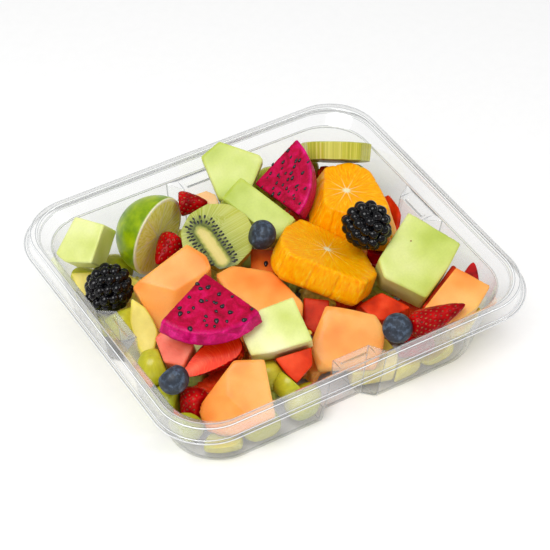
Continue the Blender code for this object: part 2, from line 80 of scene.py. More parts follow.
# %% Floor and lights
FLOOR_SIDE = 6.0
SURROUNDING = 0.46
LAMPS = (
    # name, place, side and power
    ("main_lamp", (-0.56, -0.24, 1.16), 0.8, 12.4),
    ("side_lamp", (0.70, -0.50, 0.90), 0.25, 2.0),
)


def linear(hex_colour):
    """An sRGB hex colour as linear red, green, blue and an alpha of one."""
    srgb = np.array([int(hex_colour[i:i + 2], 16) for i in (1, 3, 5)]) / 255
    value = np.where(srgb > 0.04045, ((srgb + 0.055) / 1.055) ** 2.4, srgb / 12.92)
    return (*(float(v) for v in value), 1.0)


def feed(tree, node, sockets):
    """Set a node's sockets to their values, and link those that another node's output feeds."""
    for name, value in sockets.items():
        if isinstance(value, bpy.types.NodeSocket):
            tree.links.new(value, node.inputs[name])
        else:
            node.inputs[name].default_value = value


def add(tree, kind, sockets=(), stops=(), **settings):
    """Add one shader node, with its settings, its sockets' values or links, and any ramp stops."""
    node = tree.nodes.new("ShaderNode" + kind)
    for name, value in settings.items():
        setattr(node, name, value)
    feed(tree, node, dict(sockets))
    for index, (position, colour) in enumerate(stops):
        elements = node.color_ramp.elements
        element = elements[index] if index < 2 else elements.new(position)
        element.position = position
        element.color = linear(colour)
    return node


def new_finish(name):
    """An empty material, its node tree and its main shader."""
    material = bpy.data.materials.new(name)
    material.use_nodes = True
    tree = material.node_tree
    return material, tree, tree.nodes["Principled BSDF"]


bpy.ops.mesh.primitive_plane_add(size=FLOOR_SIDE)
floor = bpy.context.object
floor.name = "white_sweep"
paper, paper_tree, paper_shader = new_finish("matt_white_paper")
grain = add(paper_tree, "TexNoise", {"Scale": 900.0, "Detail": 2.0})
tone = add(paper_tree, "ValToRGB", {"Fac": grain.outputs["Fac"]}, [(0.0, "#FBFBFB"), (1.0, "#FFFFFF")])
feed(paper_tree, paper_shader,
     {"Base Color": tone.outputs["Color"], "Roughness": 0.9, "Specular IOR Level": 0.1})
floor.data.materials.append(paper)

world = bpy.data.worlds.new("white_surrounding")
world.use_nodes = True
feed(world.node_tree, world.node_tree.nodes["Background"],
     {"Color": (1.0, 1.0, 1.0, 1.0), "Strength": SURROUNDING})
bpy.context.scene.world = world
bpy.context.scene.view_settings.view_transform = "Standard"
for name, at, side, watts in LAMPS:
    light = bpy.data.lights.new(name, "AREA")
    light.energy = watts
    light.size = side
    lamp = bpy.data.objects.new(name, light)
    lamp.location = at
    lamp.rotation_euler = (-Vector(at)).to_track_quat("-Z", "Y").to_euler()
    bpy.context.scene.collection.objects.link(lamp)
print("lamps", len(LAMPS))

# %% [markdown]
# Each cut piece of fruit is bounded by flat knife cuts, and by flats where it leans on another
# piece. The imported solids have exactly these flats, so they are read from the frame. A cut is
# stored as a unit normal and its distance from the origin, in millimetres.

# %% Read the cuts of a solid
SAME_WAY = 0.9995
SAME_PLACE = 0.06


def corner_grid(name):
    """The corners of a solid's triangles, as an array of triangle, corner and axis, in millimetres."""
    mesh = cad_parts[name].data
    places = np.empty(len(mesh.vertices) * 3, np.float32)
    mesh.vertices.foreach_get("co", places)
    mesh.calc_loop_triangles()
    triangles = np.empty(len(mesh.loop_triangles) * 3, np.int32)
    mesh.loop_triangles.foreach_get("vertices", triangles)
    return places.reshape(-1, 3)[triangles.reshape(-1, 3)].astype(float) / MM


def middle_of(name):
    """The centre of a solid's volume: each triangle and the origin span a small tetrahedron."""
    a, b, c = corner_grid(name).transpose(1, 0, 2)
    volume = (a * np.cross(b, c)).sum(axis=1)
    return ((a + b + c) * volume[:, None]).sum(axis=0) / (4 * volume.sum())


def cuts_of(name):
    """The distinct flats of a solid, widest first, as normals and distances."""
    a, b, c = corner_grid(name).transpose(1, 0, 2)
    normals = np.cross(b - a, c - a)
    areas = np.linalg.norm(normals, axis=1)
    order = np.argsort(-areas)
    order = order[areas[order] > 1e-3]
    normals = normals[order] / areas[order, None]
    distances = (normals * a[order]).sum(axis=1)
    kept = []
    for index in range(len(normals)):
        alike = [k for k in kept if normals[k] @ normals[index] > SAME_WAY
                 and abs(distances[k] - distances[index]) < SAME_PLACE]
        if not alike:
            kept.append(index)
    return normals[kept], distances[kept]


sample_normals, sample_distances = cuts_of("honeydew_front")
print("honeydew_front has", len(sample_distances), "cuts")

# %% [markdown]
# A grid of points becomes a mesh in one place. Rows run from one pole to the other and columns run
# round, so the shape closes on itself. The poles are single points, and a mesh that came out
# inside out is turned by looking at the sign of its volume.

# %% Turn a grid of points into a piece


def ring_quads(rings, columns):
    """Quads between neighbouring rings of corners, the first ring starting at corner 1."""
    ring = np.arange(columns)
    after = (ring + 1) % columns
    start = 1 + np.arange(rings - 1)[:, None] * columns
    corners = [start + ring, start + columns + ring, start + columns + after, start + after]
    return np.stack(corners, axis=-1).reshape(-1, 4).tolist()


def grid_faces(rows, columns):
    """Faces of a closed grid: fans at the two poles and quads between the rings."""
    ring = np.arange(columns)
    after = (ring + 1) % columns
    first, last = 0, 1 + (rows - 2) * columns
    faces = np.column_stack([np.full(columns, first), 1 + ring, 1 + after]).tolist()
    faces += ring_quads(rows - 2, columns)
    end = 1 + (rows - 3) * columns
    faces += np.column_stack([end + ring, np.full(columns, last), end + after]).tolist()
    return faces


def grid_points(points):
    """The grid's points as a list in which each pole appears once."""
    return np.concatenate([points[:1, 0], points[1:-1].reshape(-1, *points.shape[2:]), points[-1:, 0]])


def is_inside_out(points):
    """True if the faces of a grid look inwards, by the sum of its signed volumes."""
    centred = points - points.mean(axis=(0, 1))
    down = np.diff(centred, axis=0)
    round_ = np.roll(centred, -1, axis=1) - centred
    return (centred[:-1] * np.cross(down, round_[:-1])).sum() < 0


def make_mesh(name, grids, places=None, marks=None):
    """One mesh from closed grids. places keeps each point's place in the fruit's own axes, in
    millimetres, and marks keeps one number for each point."""
    kept = {"place": places, "mark": marks}
    corners, faces = [], []
    own = {key: [] for key, values in kept.items() if values is not None}
    for index, grid in enumerate(grids):
        flip = is_inside_out(grid)
        base = sum(len(part) for part in corners)
        faces += [[corner + base for corner in face] for face in grid_faces(*grid.shape[:2])]
        corners.append(grid_points(grid[:, ::-1] if flip else grid))
        for key in own:
            values = kept[key][index]
            own[key].append(grid_points(values[:, ::-1] if flip else values))
    mesh = bpy.data.meshes.new(name)
    mesh.from_pydata((np.concatenate(corners) * MM).tolist(), [], faces)
    mesh.shade_smooth()
    for key, values in own.items():
        values = np.concatenate(values).astype(np.float32)
        kind, field = ("FLOAT_VECTOR", "vector") if values.ndim == 2 else ("FLOAT", "value")
        mesh.attributes.new(key, kind, "POINT").data.foreach_set(field, values.ravel())
    return mesh


def finish_piece(name, mesh, material, replaced=()):
    """Put a mesh into the scene as a piece of the tray's one body."""
    piece = bpy.data.objects.new(name, mesh)
    bpy.context.scene.collection.objects.link(piece)
    mesh.materials.append(material)
    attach(piece, "root")
    if replaced:
        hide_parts(*replaced)
    return piece


def turned(out, up, columns):
    """Carry a line round the Z axis. Each of its points lies out from the axis and up along it."""
    turn = np.linspace(0, 2 * math.pi, columns, endpoint=False)
    out, up = np.reshape(out, (-1, 1)), np.reshape(up, (-1, 1))
    return np.stack([out * np.cos(turn), out * np.sin(turn), up * np.ones_like(turn)], axis=-1)


def directions(rows, columns, axis=(0.0, 0.0, 1.0)):
    """Unit directions from one pole to the other and round, the poles lying along an axis."""
    polar = np.linspace(0, math.pi, rows)
    tilt = Vector((0, 0, 1)).rotation_difference(Vector(axis)).to_matrix()
    return turned(np.sin(polar), np.cos(polar), columns) @ np.array(tilt).T


print("a grid of 6 by 8 has", len(grid_faces(6, 8)), "faces")

# %% [markdown]
# A knife-cut chunk has flat sides and slightly soft edges, because moist flesh gives way at an
# edge. Bevelling dozens of edges by hand is fragile. Here the whole chunk is one formula instead:
# looking out from its middle, every cut is met at some distance, and the surface lies at a soft
# minimum of all of them. A high power keeps the edges crisp, a low one makes them round.

# %% Rounded chunk


def soft_block(normals, distances, centre, looks, power):
    """In a direction u the surface is at r = (sum of (max(n.u, 0) / d) ^ p) ^ (-1 / p)."""
    room = distances - normals @ centre
    reach = np.clip(looks @ normals.T, 0, None) / room
    largest = reach.max(axis=-1, keepdims=True)
    total = ((reach / largest) ** power).sum(axis=-1, keepdims=True) ** (1 / power)
    return centre + looks / (largest * total)


def ripple(points, wavelength, seed):
    """A smooth waviness from -1 to 1: six sine waves in seeded directions, averaged."""
    rng = np.random.default_rng(seed)
    ways = rng.normal(size=(6, 3))
    ways /= np.linalg.norm(ways, axis=1, keepdims=True)
    phase = points @ ways.T * (2 * math.pi / wavelength) + rng.uniform(0, 6, 6)
    return np.sin(phase).mean(axis=-1, keepdims=True)


def chunk_grid(normals, distances, centre, power, seed, wobble=1.0, rows=72, columns=116):
    """A chunk's grid, its top cut facing a pole, with a hand's slight waviness in every cut."""
    top = normals[np.argmax(normals[:, 2])]
    points = soft_block(normals, distances, centre, directions(rows, columns, top), power)
    slow, fine = ripple(points, 17.0, seed), ripple(points, 4.5, seed + 1)
    inward = 1 - wobble * (0.005 * (1 - slow) + 0.002 * (1 - fine))
    return centre + (points - centre) * inward


print("chunk corner softness at power 30:", round(1 - 3 ** (-1 / 30), 3))

# %% [markdown]
# Melon flesh is moist and lets light in a little. Its colour drifts slowly across a piece, and the
# knife leaves a fine grain. The same short recipe serves honeydew, cantaloupe, watermelon, papaya
# and pineapple: two drifting colours, a grain of the right size, a wet coat and some scattering.

# %% Cut flesh of melon and its kin
WET_COAT = 0.15
FLESH_IOR = 1.36


def cut_flesh(name, colours, drift_mm, grain_mm, grain_depth_mm, scatter,
              stretch=(1, 1, 1), rough=0.38, wet=1.0):
    """Flesh whose light, middle and deep colour drift over drift_mm, with a knife's grain of
    grain_mm. scatter holds how far red, green and blue light spreads inside, and wet is how
    strongly the moist surface shines."""
    light, middle, deep = colours
    material, tree, shader = new_finish(name)
    place = add(tree, "TexCoord").outputs["Object"]
    laid = add(tree, "Mapping", {"Vector": place, "Scale": stretch, "Rotation": (0.4, 0.3, 0.6)})
    laid = laid.outputs["Vector"]
    drift = add(tree, "TexNoise", {"Vector": laid, "Scale": 1 / (drift_mm * MM), "Detail": 2.0,
                                   "Roughness": 0.45})
    colour = add(tree, "ValToRGB", {"Fac": drift.outputs["Fac"]},
                 [(0.30, deep), (0.52, middle), (0.72, light)])
    grain = add(tree, "TexNoise", {"Vector": laid, "Scale": 1 / (grain_mm * MM), "Detail": 3.0,
                                   "Roughness": 0.6}).outputs["Fac"]
    speck = add(tree, "MapRange", {"Value": grain, "To Min": 0.90, "To Max": 1.06})
    shaded = add(tree, "VectorMath", {0: colour.outputs["Color"], "Scale": speck.outputs["Result"]},
                 operation="SCALE")
    relief = add(tree, "Bump", {"Height": grain, "Distance": grain_depth_mm * MM, "Strength": 0.6})
    feed(tree, shader, {
        "Base Color": shaded.outputs["Vector"], "Normal": relief.outputs["Normal"],
        "Roughness": rough, "IOR": FLESH_IOR, "Specular IOR Level": 0.35 * wet,
        "Coat Weight": WET_COAT * wet, "Coat Roughness": 0.25,
        "Subsurface Weight": 0.5, "Subsurface Radius": scatter, "Subsurface Scale": 4.5 * MM,
    })
    return material


FLESHES = (
    # name, light, middle and deep colour, drift, grain and its depth, scatter, and what differs
    ("honeydew", ("#DEE596", "#CDDA76", "#B0C248"), 26, 1.1, 0.10, (1.0, 0.9, 0.35), {}),
    ("pale_honeydew", ("#EEF0BC", "#DFE696", "#C0CD58"), 26, 1.1, 0.10, (1.0, 0.9, 0.5), {}),
    ("cantaloupe", ("#FFBE6C", "#FFA54E", "#F9802A"), 24, 1.0, 0.10, (1.0, 0.45, 0.12), {}),
    ("watermelon", ("#F0542A", "#D8380E", "#A81E02"), 12, 1.6, 0.35, (1.0, 0.3, 0.1),
     {"rough": 0.45, "wet": 0.4}),
    ("pale_watermelon", ("#FF9C80", "#F8785A", "#DE5232"), 12, 1.6, 0.35, (1.0, 0.4, 0.25),
     {"rough": 0.45}),
    ("pale_cantaloupe", ("#FFE0B0", "#FFD29C", "#FFC080"), 20, 1.0, 0.10, (1.0, 0.6, 0.25), {}),
    ("papaya", ("#FF8A30", "#F06A14", "#CC4A08"), 14, 1.0, 0.12, (1.0, 0.4, 0.1), {}),
    ("pineapple", ("#F0E27E", "#E4D25A", "#D0BC42"), 14, 1.3, 0.30, (1.0, 0.8, 0.2),
     {"stretch": (1, 1, 0.25), "rough": 0.33}),
)
fleshes = {name: cut_flesh(name + "_flesh", *values, **others) for name, *values, others in FLESHES}
KINDS = (
    # start of the name, flesh, power of the edges, slot
    ("honeydew_left", "pale_honeydew", 60, "honeydew"),
    ("honeydew_front", "pale_honeydew", 60, "honeydew"),
    ("honeydew", "honeydew", 60, "honeydew"),
    ("cantaloupe_back", "pale_cantaloupe", 50, "cantaloupe"),
    ("cantaloupe", "cantaloupe", 50, "cantaloupe"),
    ("watermelon_left", "pale_watermelon", 34, "watermelon"),
    ("watermelon", "watermelon", 34, "watermelon"),
    ("papaya", "papaya", 40, "papaya"),
    ("pineapple", "pineapple", 26, "pineapple"),
)
placed = set()
for start, kind, power, slot in KINDS:
    names = sorted(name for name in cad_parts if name.startswith(start) and name not in placed)
    placed.update(names)
    for index, name in enumerate(names):
        normals, distances = cuts_of(name)
        grid = chunk_grid(normals, distances, middle_of(name), power, 10 * index + len(start))
        finish_piece(name + "_piece", make_mesh(name, [grid]), fleshes[kind], [name])
    print(start, "pieces:", len(names))

# %% [markdown]
# The other pieces have a pattern of their own, such as rays, seeds or a rind, that belongs to the
# fruit and not to the room. Each is worked out in the fruit's own axes, with its cut face up, and
# then laid in the tray. The own-axes place of every point is kept on the mesh for its material.
# What would reach into a neighbour is pressed flat against the cuts read from the frame.

# %% Lay a fruit in the tray and press it


def turn_of(tilt, toward, spin=0.0):
    """Rotation that spins about Z and then tilts Z some degrees toward a bearing."""
    turn = Matrix.Rotation(math.radians(toward), 3, "Z")
    turn = turn @ Matrix.Rotation(math.radians(tilt), 3, "Y")
    return np.array(turn @ Matrix.Rotation(math.radians(spin), 3, "Z"))


def turn_along(start, end):
    """Rotation that points Z from one place to another."""
    way = Vector(end) - Vector(start)
    return np.array(way.to_track_quat("Z", "Y").to_matrix())


def pressed(points, normals, distances, softness=0.02):
    """Push a shape back inside each cut: a point b beyond it moves by s ln(1 + exp(b / s))."""
    for normal, distance in zip(normals, distances):
        beyond = (points @ normal - distance) / softness
        points = points - softness * np.logaddexp(0, beyond)[..., None] * normal
    return points


def true_cuts(name, points, margin=0.6):
    """The cuts of a solid that really trim a shape, not the facets that only follow its curve."""
    normals, distances = cuts_of(name)
    reach = (points.reshape(-1, 3) @ normals.T).max(axis=0)
    trims = distances < reach - margin
    return normals[trims], distances[trims]


def evenly_round(count):
    """Points spread evenly over a ball of radius one, along a spiral."""
    step = np.arange(count) + 0.5
    height = 1 - 2 * step / count
    turn = math.pi * (1 + math.sqrt(5)) * step
    flat = np.sqrt(1 - height ** 2)
    return np.column_stack([flat * np.cos(turn), flat * np.sin(turn), height])


print("turn check", np.round(turn_of(90, 0) @ np.array([0, 0, 1.0]), 3))

# %% [markdown]
# A blueberry is a slightly flat ball. At one end the flower has left a crown: a sunken disc inside
# a low rim with five points. Its dark skin wears a pale dusty bloom that rubs off in patches.

# %% Blueberries
BLUEBERRIES = (
    ("blueberry_centre", (0, 12, 55), (60, 160)),
    ("blueberry_front", (-86.5, -43, 37), (70, 100)),
    ("blueberry_right", (31, -75, 43), (65, -150)),
)
BLUEBERRY_RADIUS = 8.15


def blueberry_grid():
    """r = R (1 - 0.07 cos^2) with a crown: a rim of five lobes at 0.34 R from the pole, a dip inside."""
    looks = directions(72, 110)
    off_axis = np.hypot(looks[..., 0], looks[..., 1])
    turn = np.arctan2(looks[..., 1], looks[..., 0])
    near_crown = looks[..., 2] > 0
    lobes = 1 + 0.35 * np.cos(5 * turn)
    rim = 0.045 * lobes * np.exp(-((off_axis - 0.36) / 0.06) ** 2)
    dip = -0.13 * np.exp(-(off_axis / 0.26) ** 4)
    radius = BLUEBERRY_RADIUS * (1 - 0.07 * looks[..., 2] ** 2 + near_crown * (rim + dip))
    return looks * radius[..., None]


def bloomy_skin():
    """Blueberry skin: dark blue under a matt wax bloom, rubbed thin in patches and fine scratches."""
    material, tree, shader = new_finish("blueberry_skin_with_bloom")
    place = add(tree, "Attribute", attribute_name="place").outputs["Vector"]
    patches = add(tree, "TexNoise", {"Vector": place, "Scale": 0.28, "Detail": 5.0, "Roughness": 0.62})
    colour = add(tree, "ValToRGB", {"Fac": patches.outputs["Fac"]},
                 [(0.32, "#131A26"), (0.50, "#27313F"), (0.62, "#47576B"), (0.80, "#7486A0")])
    rubbed = add(tree, "MapRange", {"Value": patches.outputs["Fac"], "To Min": 0.28, "To Max": 0.75})
    relief = add(tree, "Bump", {"Height": patches.outputs["Fac"], "Distance": 0.12 * MM, "Strength": 0.5})
    feed(tree, shader, {"Base Color": colour.outputs["Color"], "Normal": relief.outputs["Normal"],
                        "Roughness": rubbed.outputs["Result"]})
    return material


blueberry_skin = bloomy_skin()
for name, at, lean in BLUEBERRIES:
    own = blueberry_grid()
    grid = own @ turn_of(*lean).T + np.array(at)
    grid = pressed(grid, *true_cuts(name, grid))
    finish_piece(name + "_piece", make_mesh(name, [grid], [own]), blueberry_skin, [name])
print("blueberries:", len(BLUEBERRIES))

# %% [markdown]
# A bramble is a bunch of small round drupelets on a core. Looking out from the middle, the surface
# is the farthest of all the little balls, so the creases between them come out by themselves.

# %% Brambles
BRAMBLES = (
    ("bramble_right", (50, -15, 60), (70, -60)),
    ("bramble_left", (-81.5, 37, 33), (60, 20)),
)
BRAMBLE_RADII = (13.2, 12.6, 13.6)
DRUPELETS = 56


def bramble_grid(rows=150, columns=230):
    """For a ball of radius q centred at c, the ray u leaves it at u.c + sqrt(q^2 - |c|^2 + (u.c)^2)."""
    looks = directions(rows, columns)
    rng = np.random.default_rng(5)
    middles = evenly_round(DRUPELETS) * (0.82 + 0.035 * rng.uniform(-1, 1, (DRUPELETS, 1)))
    ball = 0.236 * (1 + 0.10 * rng.uniform(-1, 1, DRUPELETS))
    along = looks @ middles.T
    inside = ball ** 2 - (middles ** 2).sum(axis=1) + along ** 2
    leave = np.where((inside > 0) & (along > 0), along + np.sqrt(np.clip(inside, 0, None)), 0.0)
    radius = np.maximum(leave.max(axis=-1), 0.74)
    return looks * radius[..., None] * np.array(BRAMBLE_RADII)


def drupelet_skin():
    """Bramble skin: nearly black juice sacs under a taut glossy film, a few of them reddish."""
    material, tree, shader = new_finish("bramble_skin")
    place = add(tree, "Attribute", attribute_name="place").outputs["Vector"]
    ripe = add(tree, "TexNoise", {"Vector": place, "Scale": 0.11, "Detail": 1.0})
    colour = add(tree, "ValToRGB", {"Fac": ripe.outputs["Fac"]},
                 [(0.35, "#030305"), (0.60, "#060509"), (0.80, "#14060C")])
    feed(tree, shader, {"Base Color": colour.outputs["Color"], "Roughness": 0.11,
                        "Specular IOR Level": 0.32})
    return material


bramble_skin = drupelet_skin()
for name, at, lean in BRAMBLES:
    own = bramble_grid()
    grid = own @ turn_of(*lean).T + np.array(at)
    finish_piece(name + "_piece", make_mesh(name, [grid], [own]), bramble_skin, [name])
print("drupelets on each bramble:", DRUPELETS)

# %% [markdown]
# Small seeds repeat many times, so one cheap drop of a few dozen faces is copied to every place.
# A seed lies with its long axis along a given direction and half sunk in the flesh.

# %% Seeds


def seed_grids(places, ways, ups, size, scales=1.0):
    """Copies of one small drop: length, width and height in size, laid along each way and scaled."""
    looks = directions(6, 8, (1.0, 0.0, 0.0))
    taper = 1 - 0.35 * looks[..., :1]
    drop = looks * np.array(size) / 2 * np.concatenate([np.ones_like(taper), taper, taper], axis=-1)
    scales = np.broadcast_to(scales, len(places))
    across = np.cross(ups, ways)
    axes = np.stack([ways, across, ups], axis=1)
    return [scale * drop @ axis + place for place, axis, scale in zip(places, axes, scales)]


def plain_seed(name, dark, light, rough):
    """Hard seed coat with a slight change of tone from seed to seed."""
    material, tree, shader = new_finish(name)
    place = add(tree, "TexCoord").outputs["Object"]
    tone = add(tree, "TexNoise", {"Vector": place, "Scale": 1 / (3 * MM), "Detail": 1.0})
    colour = add(tree, "ValToRGB", {"Fac": tone.outputs["Fac"]}, [(0.35, dark), (0.65, light)])
    feed(tree, shader, {"Base Color": colour.outputs["Color"], "Roughness": rough})
    return material


black_seed = plain_seed("black_seed_coat", "#08080A", "#1C1A20", 0.3)
straw_seed = plain_seed("strawberry_seed_coat", "#5E280C", "#A8642A", 0.45)
print("faces in one seed:", len(grid_faces(6, 8)))

# %% [markdown]
# A strawberry tapers to a blunt tip. Its skin is dimpled, with one seed in each dimple, set in
# even spirals. Some berries in the salad are cut lengthwise: the cut shows pale streaks that run
# from the core to the skin.

# %% Strawberries
STRAWBERRIES = (
    # name, broad end, tip, radius, and whether it is a half with its cut in view
    ("strawberry_right", (38, -76, 39), (71, -80, 45), 8.4, False),
    ("strawberry_cut", (-40, -32, 33), (-77, -36, 29), 11.0, True),
    ("strawberry_low", (-74, -45, 26), (-84, -52, 4), 8.5, False),
    ("strawberry_front", (59, -68, 17), (37, -70, 14), 8.0, False),
    ("strawberry_tip", (86, -62, 24), (95, -54, 43), 7.5, False),
    ("strawberry_back", (-22, 68, 44), (-6, 60, 44), 7.5, False),
    ("strawberry_lime", (-31, 52, 35), (-49, 42, 32), 8.5, False),
)
SEED_SPACING = 3.0
DIMPLE_DEPTH = 0.55


def berry_radius(along, radius):
    """Half width at a share of the length: 1.15 R (1 - t)^0.62 (1 - exp(-14 t))."""
    return 1.15 * radius * np.clip(1 - along, 0, 1) ** 0.62 * (1 - np.exp(-14 * along))


def strawberry_shape(length, radius):
    """The berry's grid and its seeds, both in its own axes with the tip up."""
    along = (1 - np.cos(np.linspace(0, math.pi, 90))) / 2
    wide = berry_radius(along, radius)
    grid = turned(wide, along * length, 110)
    count = int(2 * math.pi * 0.72 * radius * length / SEED_SPACING ** 2)
    step = (np.arange(count) + 0.5) / count
    seed_along = 0.04 + 0.93 * (1 - np.sqrt(1 - step))
    seed_turn = math.pi * (1 + math.sqrt(5)) * np.arange(count)
    seed_wide = berry_radius(seed_along, radius)
    seeds = np.column_stack([seed_wide * np.cos(seed_turn), seed_wide * np.sin(seed_turn),
                             seed_along * length])
    away = np.sqrt(((grid[:, :, None] - seeds) ** 2).sum(axis=-1)).min(axis=-1)
    dimple = 1 - DIMPLE_DEPTH * np.exp(-(away / 0.85) ** 2) / np.maximum(wide, 2.0)[:, None]
    return grid * np.stack([dimple, dimple, np.ones_like(dimple)], axis=-1), seeds


def from_axis(tree, place):
    """A place's x, y and z, the place with z left out, and how far out from the axis it lies."""
    parts = add(tree, "SeparateXYZ", {"Vector": place}).outputs
    flat = add(tree, "CombineXYZ", {"X": parts["X"], "Y": parts["Y"]}).outputs["Vector"]
    out = add(tree, "VectorMath", {0: flat}, operation="LENGTH").outputs["Value"]
    return parts, flat, out


def strawberry_skin():
    """Strawberry: taut red skin, and on a cut the flesh with pale streaks that slant to the tip."""
    material, tree, shader = new_finish("strawberry_skin_and_flesh")
    place = add(tree, "Attribute", attribute_name="place").outputs["Vector"]
    mark = add(tree, "Attribute", attribute_name="mark").outputs["Fac"]
    parts, _, out = from_axis(tree, place)
    blush = add(tree, "TexNoise", {"Vector": place, "Scale": 0.16, "Detail": 2.0})
    skin = add(tree, "ValToRGB", {"Fac": blush.outputs["Fac"]},
               [(0.30, "#780004"), (0.50, "#A40208"), (0.72, "#C60E0C")])
    slant = add(tree, "Math", {0: out, 1: -0.8, 2: parts["Z"]}, operation="MULTIPLY_ADD")
    across = add(tree, "Math", {0: out, 1: 0.35}, operation="MULTIPLY")
    laid = add(tree, "CombineXYZ", {"X": slant.outputs[0], "Y": across.outputs[0]})
    streaks = add(tree, "TexNoise", {"Vector": laid.outputs["Vector"], "Scale": 1.3, "Detail": 3.0})
    flesh = add(tree, "ValToRGB", {"Fac": streaks.outputs["Fac"]},
                [(0.26, "#EE2800"), (0.56, "#F83C08"), (0.92, "#FF7A44")])
    core = add(tree, "MapRange", {"Value": out, "From Max": 3.5, "To Min": 0.35, "To Max": 0.0})
    pale = add(tree, "Mix", {0: core.outputs["Result"], 6: flesh.outputs["Color"], 7: linear("#FF9C74")},
               data_type="RGBA")
    colour = add(tree, "Mix", {0: mark, 6: skin.outputs["Color"], 7: pale.outputs[2]}, data_type="RGBA")
    feed(tree, shader, {
        "Base Color": colour.outputs[2], "Roughness": 0.28, "Specular IOR Level": 0.08,
        "Coat Weight": 0.06, "Coat Roughness": 0.12, "Subsurface Weight": 0.12,
        "Subsurface Radius": (1.0, 0.3, 0.2), "Subsurface Scale": 2.0 * MM,
    })
    return material


berry_skin = strawberry_skin()
for name, start, tip, radius, halved in STRAWBERRIES:
    turn = turn_along(start, tip)
    start, tip, axis = np.array(start), np.array(tip), turn[:, 2]
    own, seeds = strawberry_shape(float(np.linalg.norm(tip - start)), radius)
    grid, seeds = own @ turn.T + start, seeds @ turn.T + start
    normals, distances = true_cuts(name, grid)
    seeds = seeds[(seeds @ normals.T < distances - 0.2).all(axis=1)]
    trimmed = pressed(grid, normals, distances)
    moved = np.linalg.norm(trimmed - grid, axis=-1)
    on_cut = np.clip(moved / 0.3 - 1, 0, 1) * halved
    outward = seeds - (start + ((seeds - start) @ axis)[:, None] * axis)
    outward /= np.linalg.norm(outward, axis=1, keepdims=True)
    ways = np.cross(np.cross(outward, axis), outward)
    ways /= np.linalg.norm(ways, axis=1, keepdims=True)
    seed_parts = seed_grids(seeds - 0.36 * outward, ways, outward, (1.25, 0.8, 0.5))
    berry = make_mesh(name, [trimmed], [(trimmed - start) @ turn], [on_cut])
    finish_piece(name + "_piece", berry, berry_skin, [name])
    finish_piece(name + "_seeds", make_mesh(name + "_seeds", seed_parts), straw_seed)
    print(name, "seeds:", len(seeds))

# %% [markdown]
# One scrap of strawberry completes the red pieces. Three small bits lie on other fruit: a seed on
# the papaya, a brown speck on a honeydew chunk and a crumb of pineapple.

# %% Scrap of strawberry and small bits
SCRAP_POWER, SCRAP_SEED = 14, 3
SMALL_BITS = (
    # name, place and lean of the face it lies on, place on that face, size, finish and slot
    ("papaya_seed", (2, 14, 33), (22, -125), (1.9, 2.0, 0.35), (3.6, 2.4, 1.8), black_seed, "papaya"),
    ("honeydew_speck", (66, -41, 48), (28, -112), (-11.1, -1.4, 0.0), (0.9, 0.9, 0.3), straw_seed,
     "honeydew"),
    ("pineapple_crumb", (-9.3, -51.4, 40.0), (0, 90), (0.0, 0.0, 0.0), (3.4, 2.6, 2.2),
     fleshes["pineapple"], "pineapple"),
)
normals, distances = cuts_of("strawberry_dark")
grid = chunk_grid(normals, distances, middle_of("strawberry_dark"), SCRAP_POWER, SCRAP_SEED)
scrap = make_mesh("strawberry_dark", [grid], [grid], [grid[..., 0] * 0])
finish_piece("strawberry_dark_piece", scrap, berry_skin, ["strawberry_dark"])
for name, at, lean, spot, size, material, slot in SMALL_BITS:
    turn = turn_of(*lean)
    bit = seed_grids(np.array([spot]) @ turn.T + np.array(at), turn[:, 0][None], turn[:, 2][None], size)
    finish_piece(name, make_mesh(name, bit), material)
print("small bits:", len(SMALL_BITS))

# %% [markdown]
# Dragon fruit flesh is deep magenta and full of small black seeds. The knife draws fine fibres
# across it. Only a thin brighter rind is left along the arc. The wedge's own axes start at its
# tip, so the distance from the tip tells flesh from rind.

# %% Dragon fruit
DRAGON_WEDGES = (
    # name, tip, lean, heading, radius, spread, seeds, their size, and how much their slants differ
    ("dragon_fruit_front", (-47.5, -8.4, 66.2), (16, -126), 11, 37.0, 89, 26, (2.5, 2.0, 1.3), 3.1),
    ("dragon_fruit_back", (21, 54.4, 50.4), (35, -162), 127, 34.5, 83, 36, (2.4, 1.3, 1.0), 0.35),
)


def dragon_flesh():
    """Wet magenta flesh with fibres, brighter in the rind beyond the wedge's arc."""
    material, tree, shader = new_finish("dragon_fruit_flesh_and_rind")
    place = add(tree, "Attribute", attribute_name="place").outputs["Vector"]
    share = add(tree, "Attribute", attribute_name="mark").outputs["Fac"]
    swirl = add(tree, "TexNoise", {"Vector": place, "Scale": 0.13, "Detail": 3.0, "Distortion": 1.2})
    fibre = add(tree, "TexNoise", {"Vector": place, "Scale": 0.75, "Detail": 3.0, "Distortion": 1.0})
    flesh = add(tree, "ValToRGB", {"Fac": swirl.outputs["Fac"]},
                [(0.30, "#900026"), (0.50, "#B40038"), (0.72, "#D00A56")])
    rind = add(tree, "ValToRGB", {"Fac": swirl.outputs["Fac"]},
               [(0.30, "#A80048"), (0.55, "#D00868"), (0.75, "#EC2890")])
    near_rind = add(tree, "MapRange", {"Value": share, "From Min": 0.91, "From Max": 0.98})
    colour = add(tree, "Mix", {0: near_rind.outputs["Result"], 6: flesh.outputs["Color"],
                               7: rind.outputs["Color"]}, data_type="RGBA")
    thread = add(tree, "MapRange", {"Value": fibre.outputs["Fac"], "From Min": 0.35, "From Max": 0.70,
                                    "To Min": 0.85, "To Max": 1.12})
    shaded = add(tree, "VectorMath", {0: colour.outputs[2], "Scale": thread.outputs["Result"]},
                 operation="SCALE")
    relief = add(tree, "Bump", {"Height": fibre.outputs["Fac"], "Distance": 0.3 * MM, "Strength": 0.6})
    feed(tree, shader, {
        "Base Color": shaded.outputs["Vector"], "Normal": relief.outputs["Normal"],
        "Roughness": 0.34, "Specular IOR Level": 0.10, "Coat Weight": 0.05, "Coat Roughness": 0.15,
    })
    return material


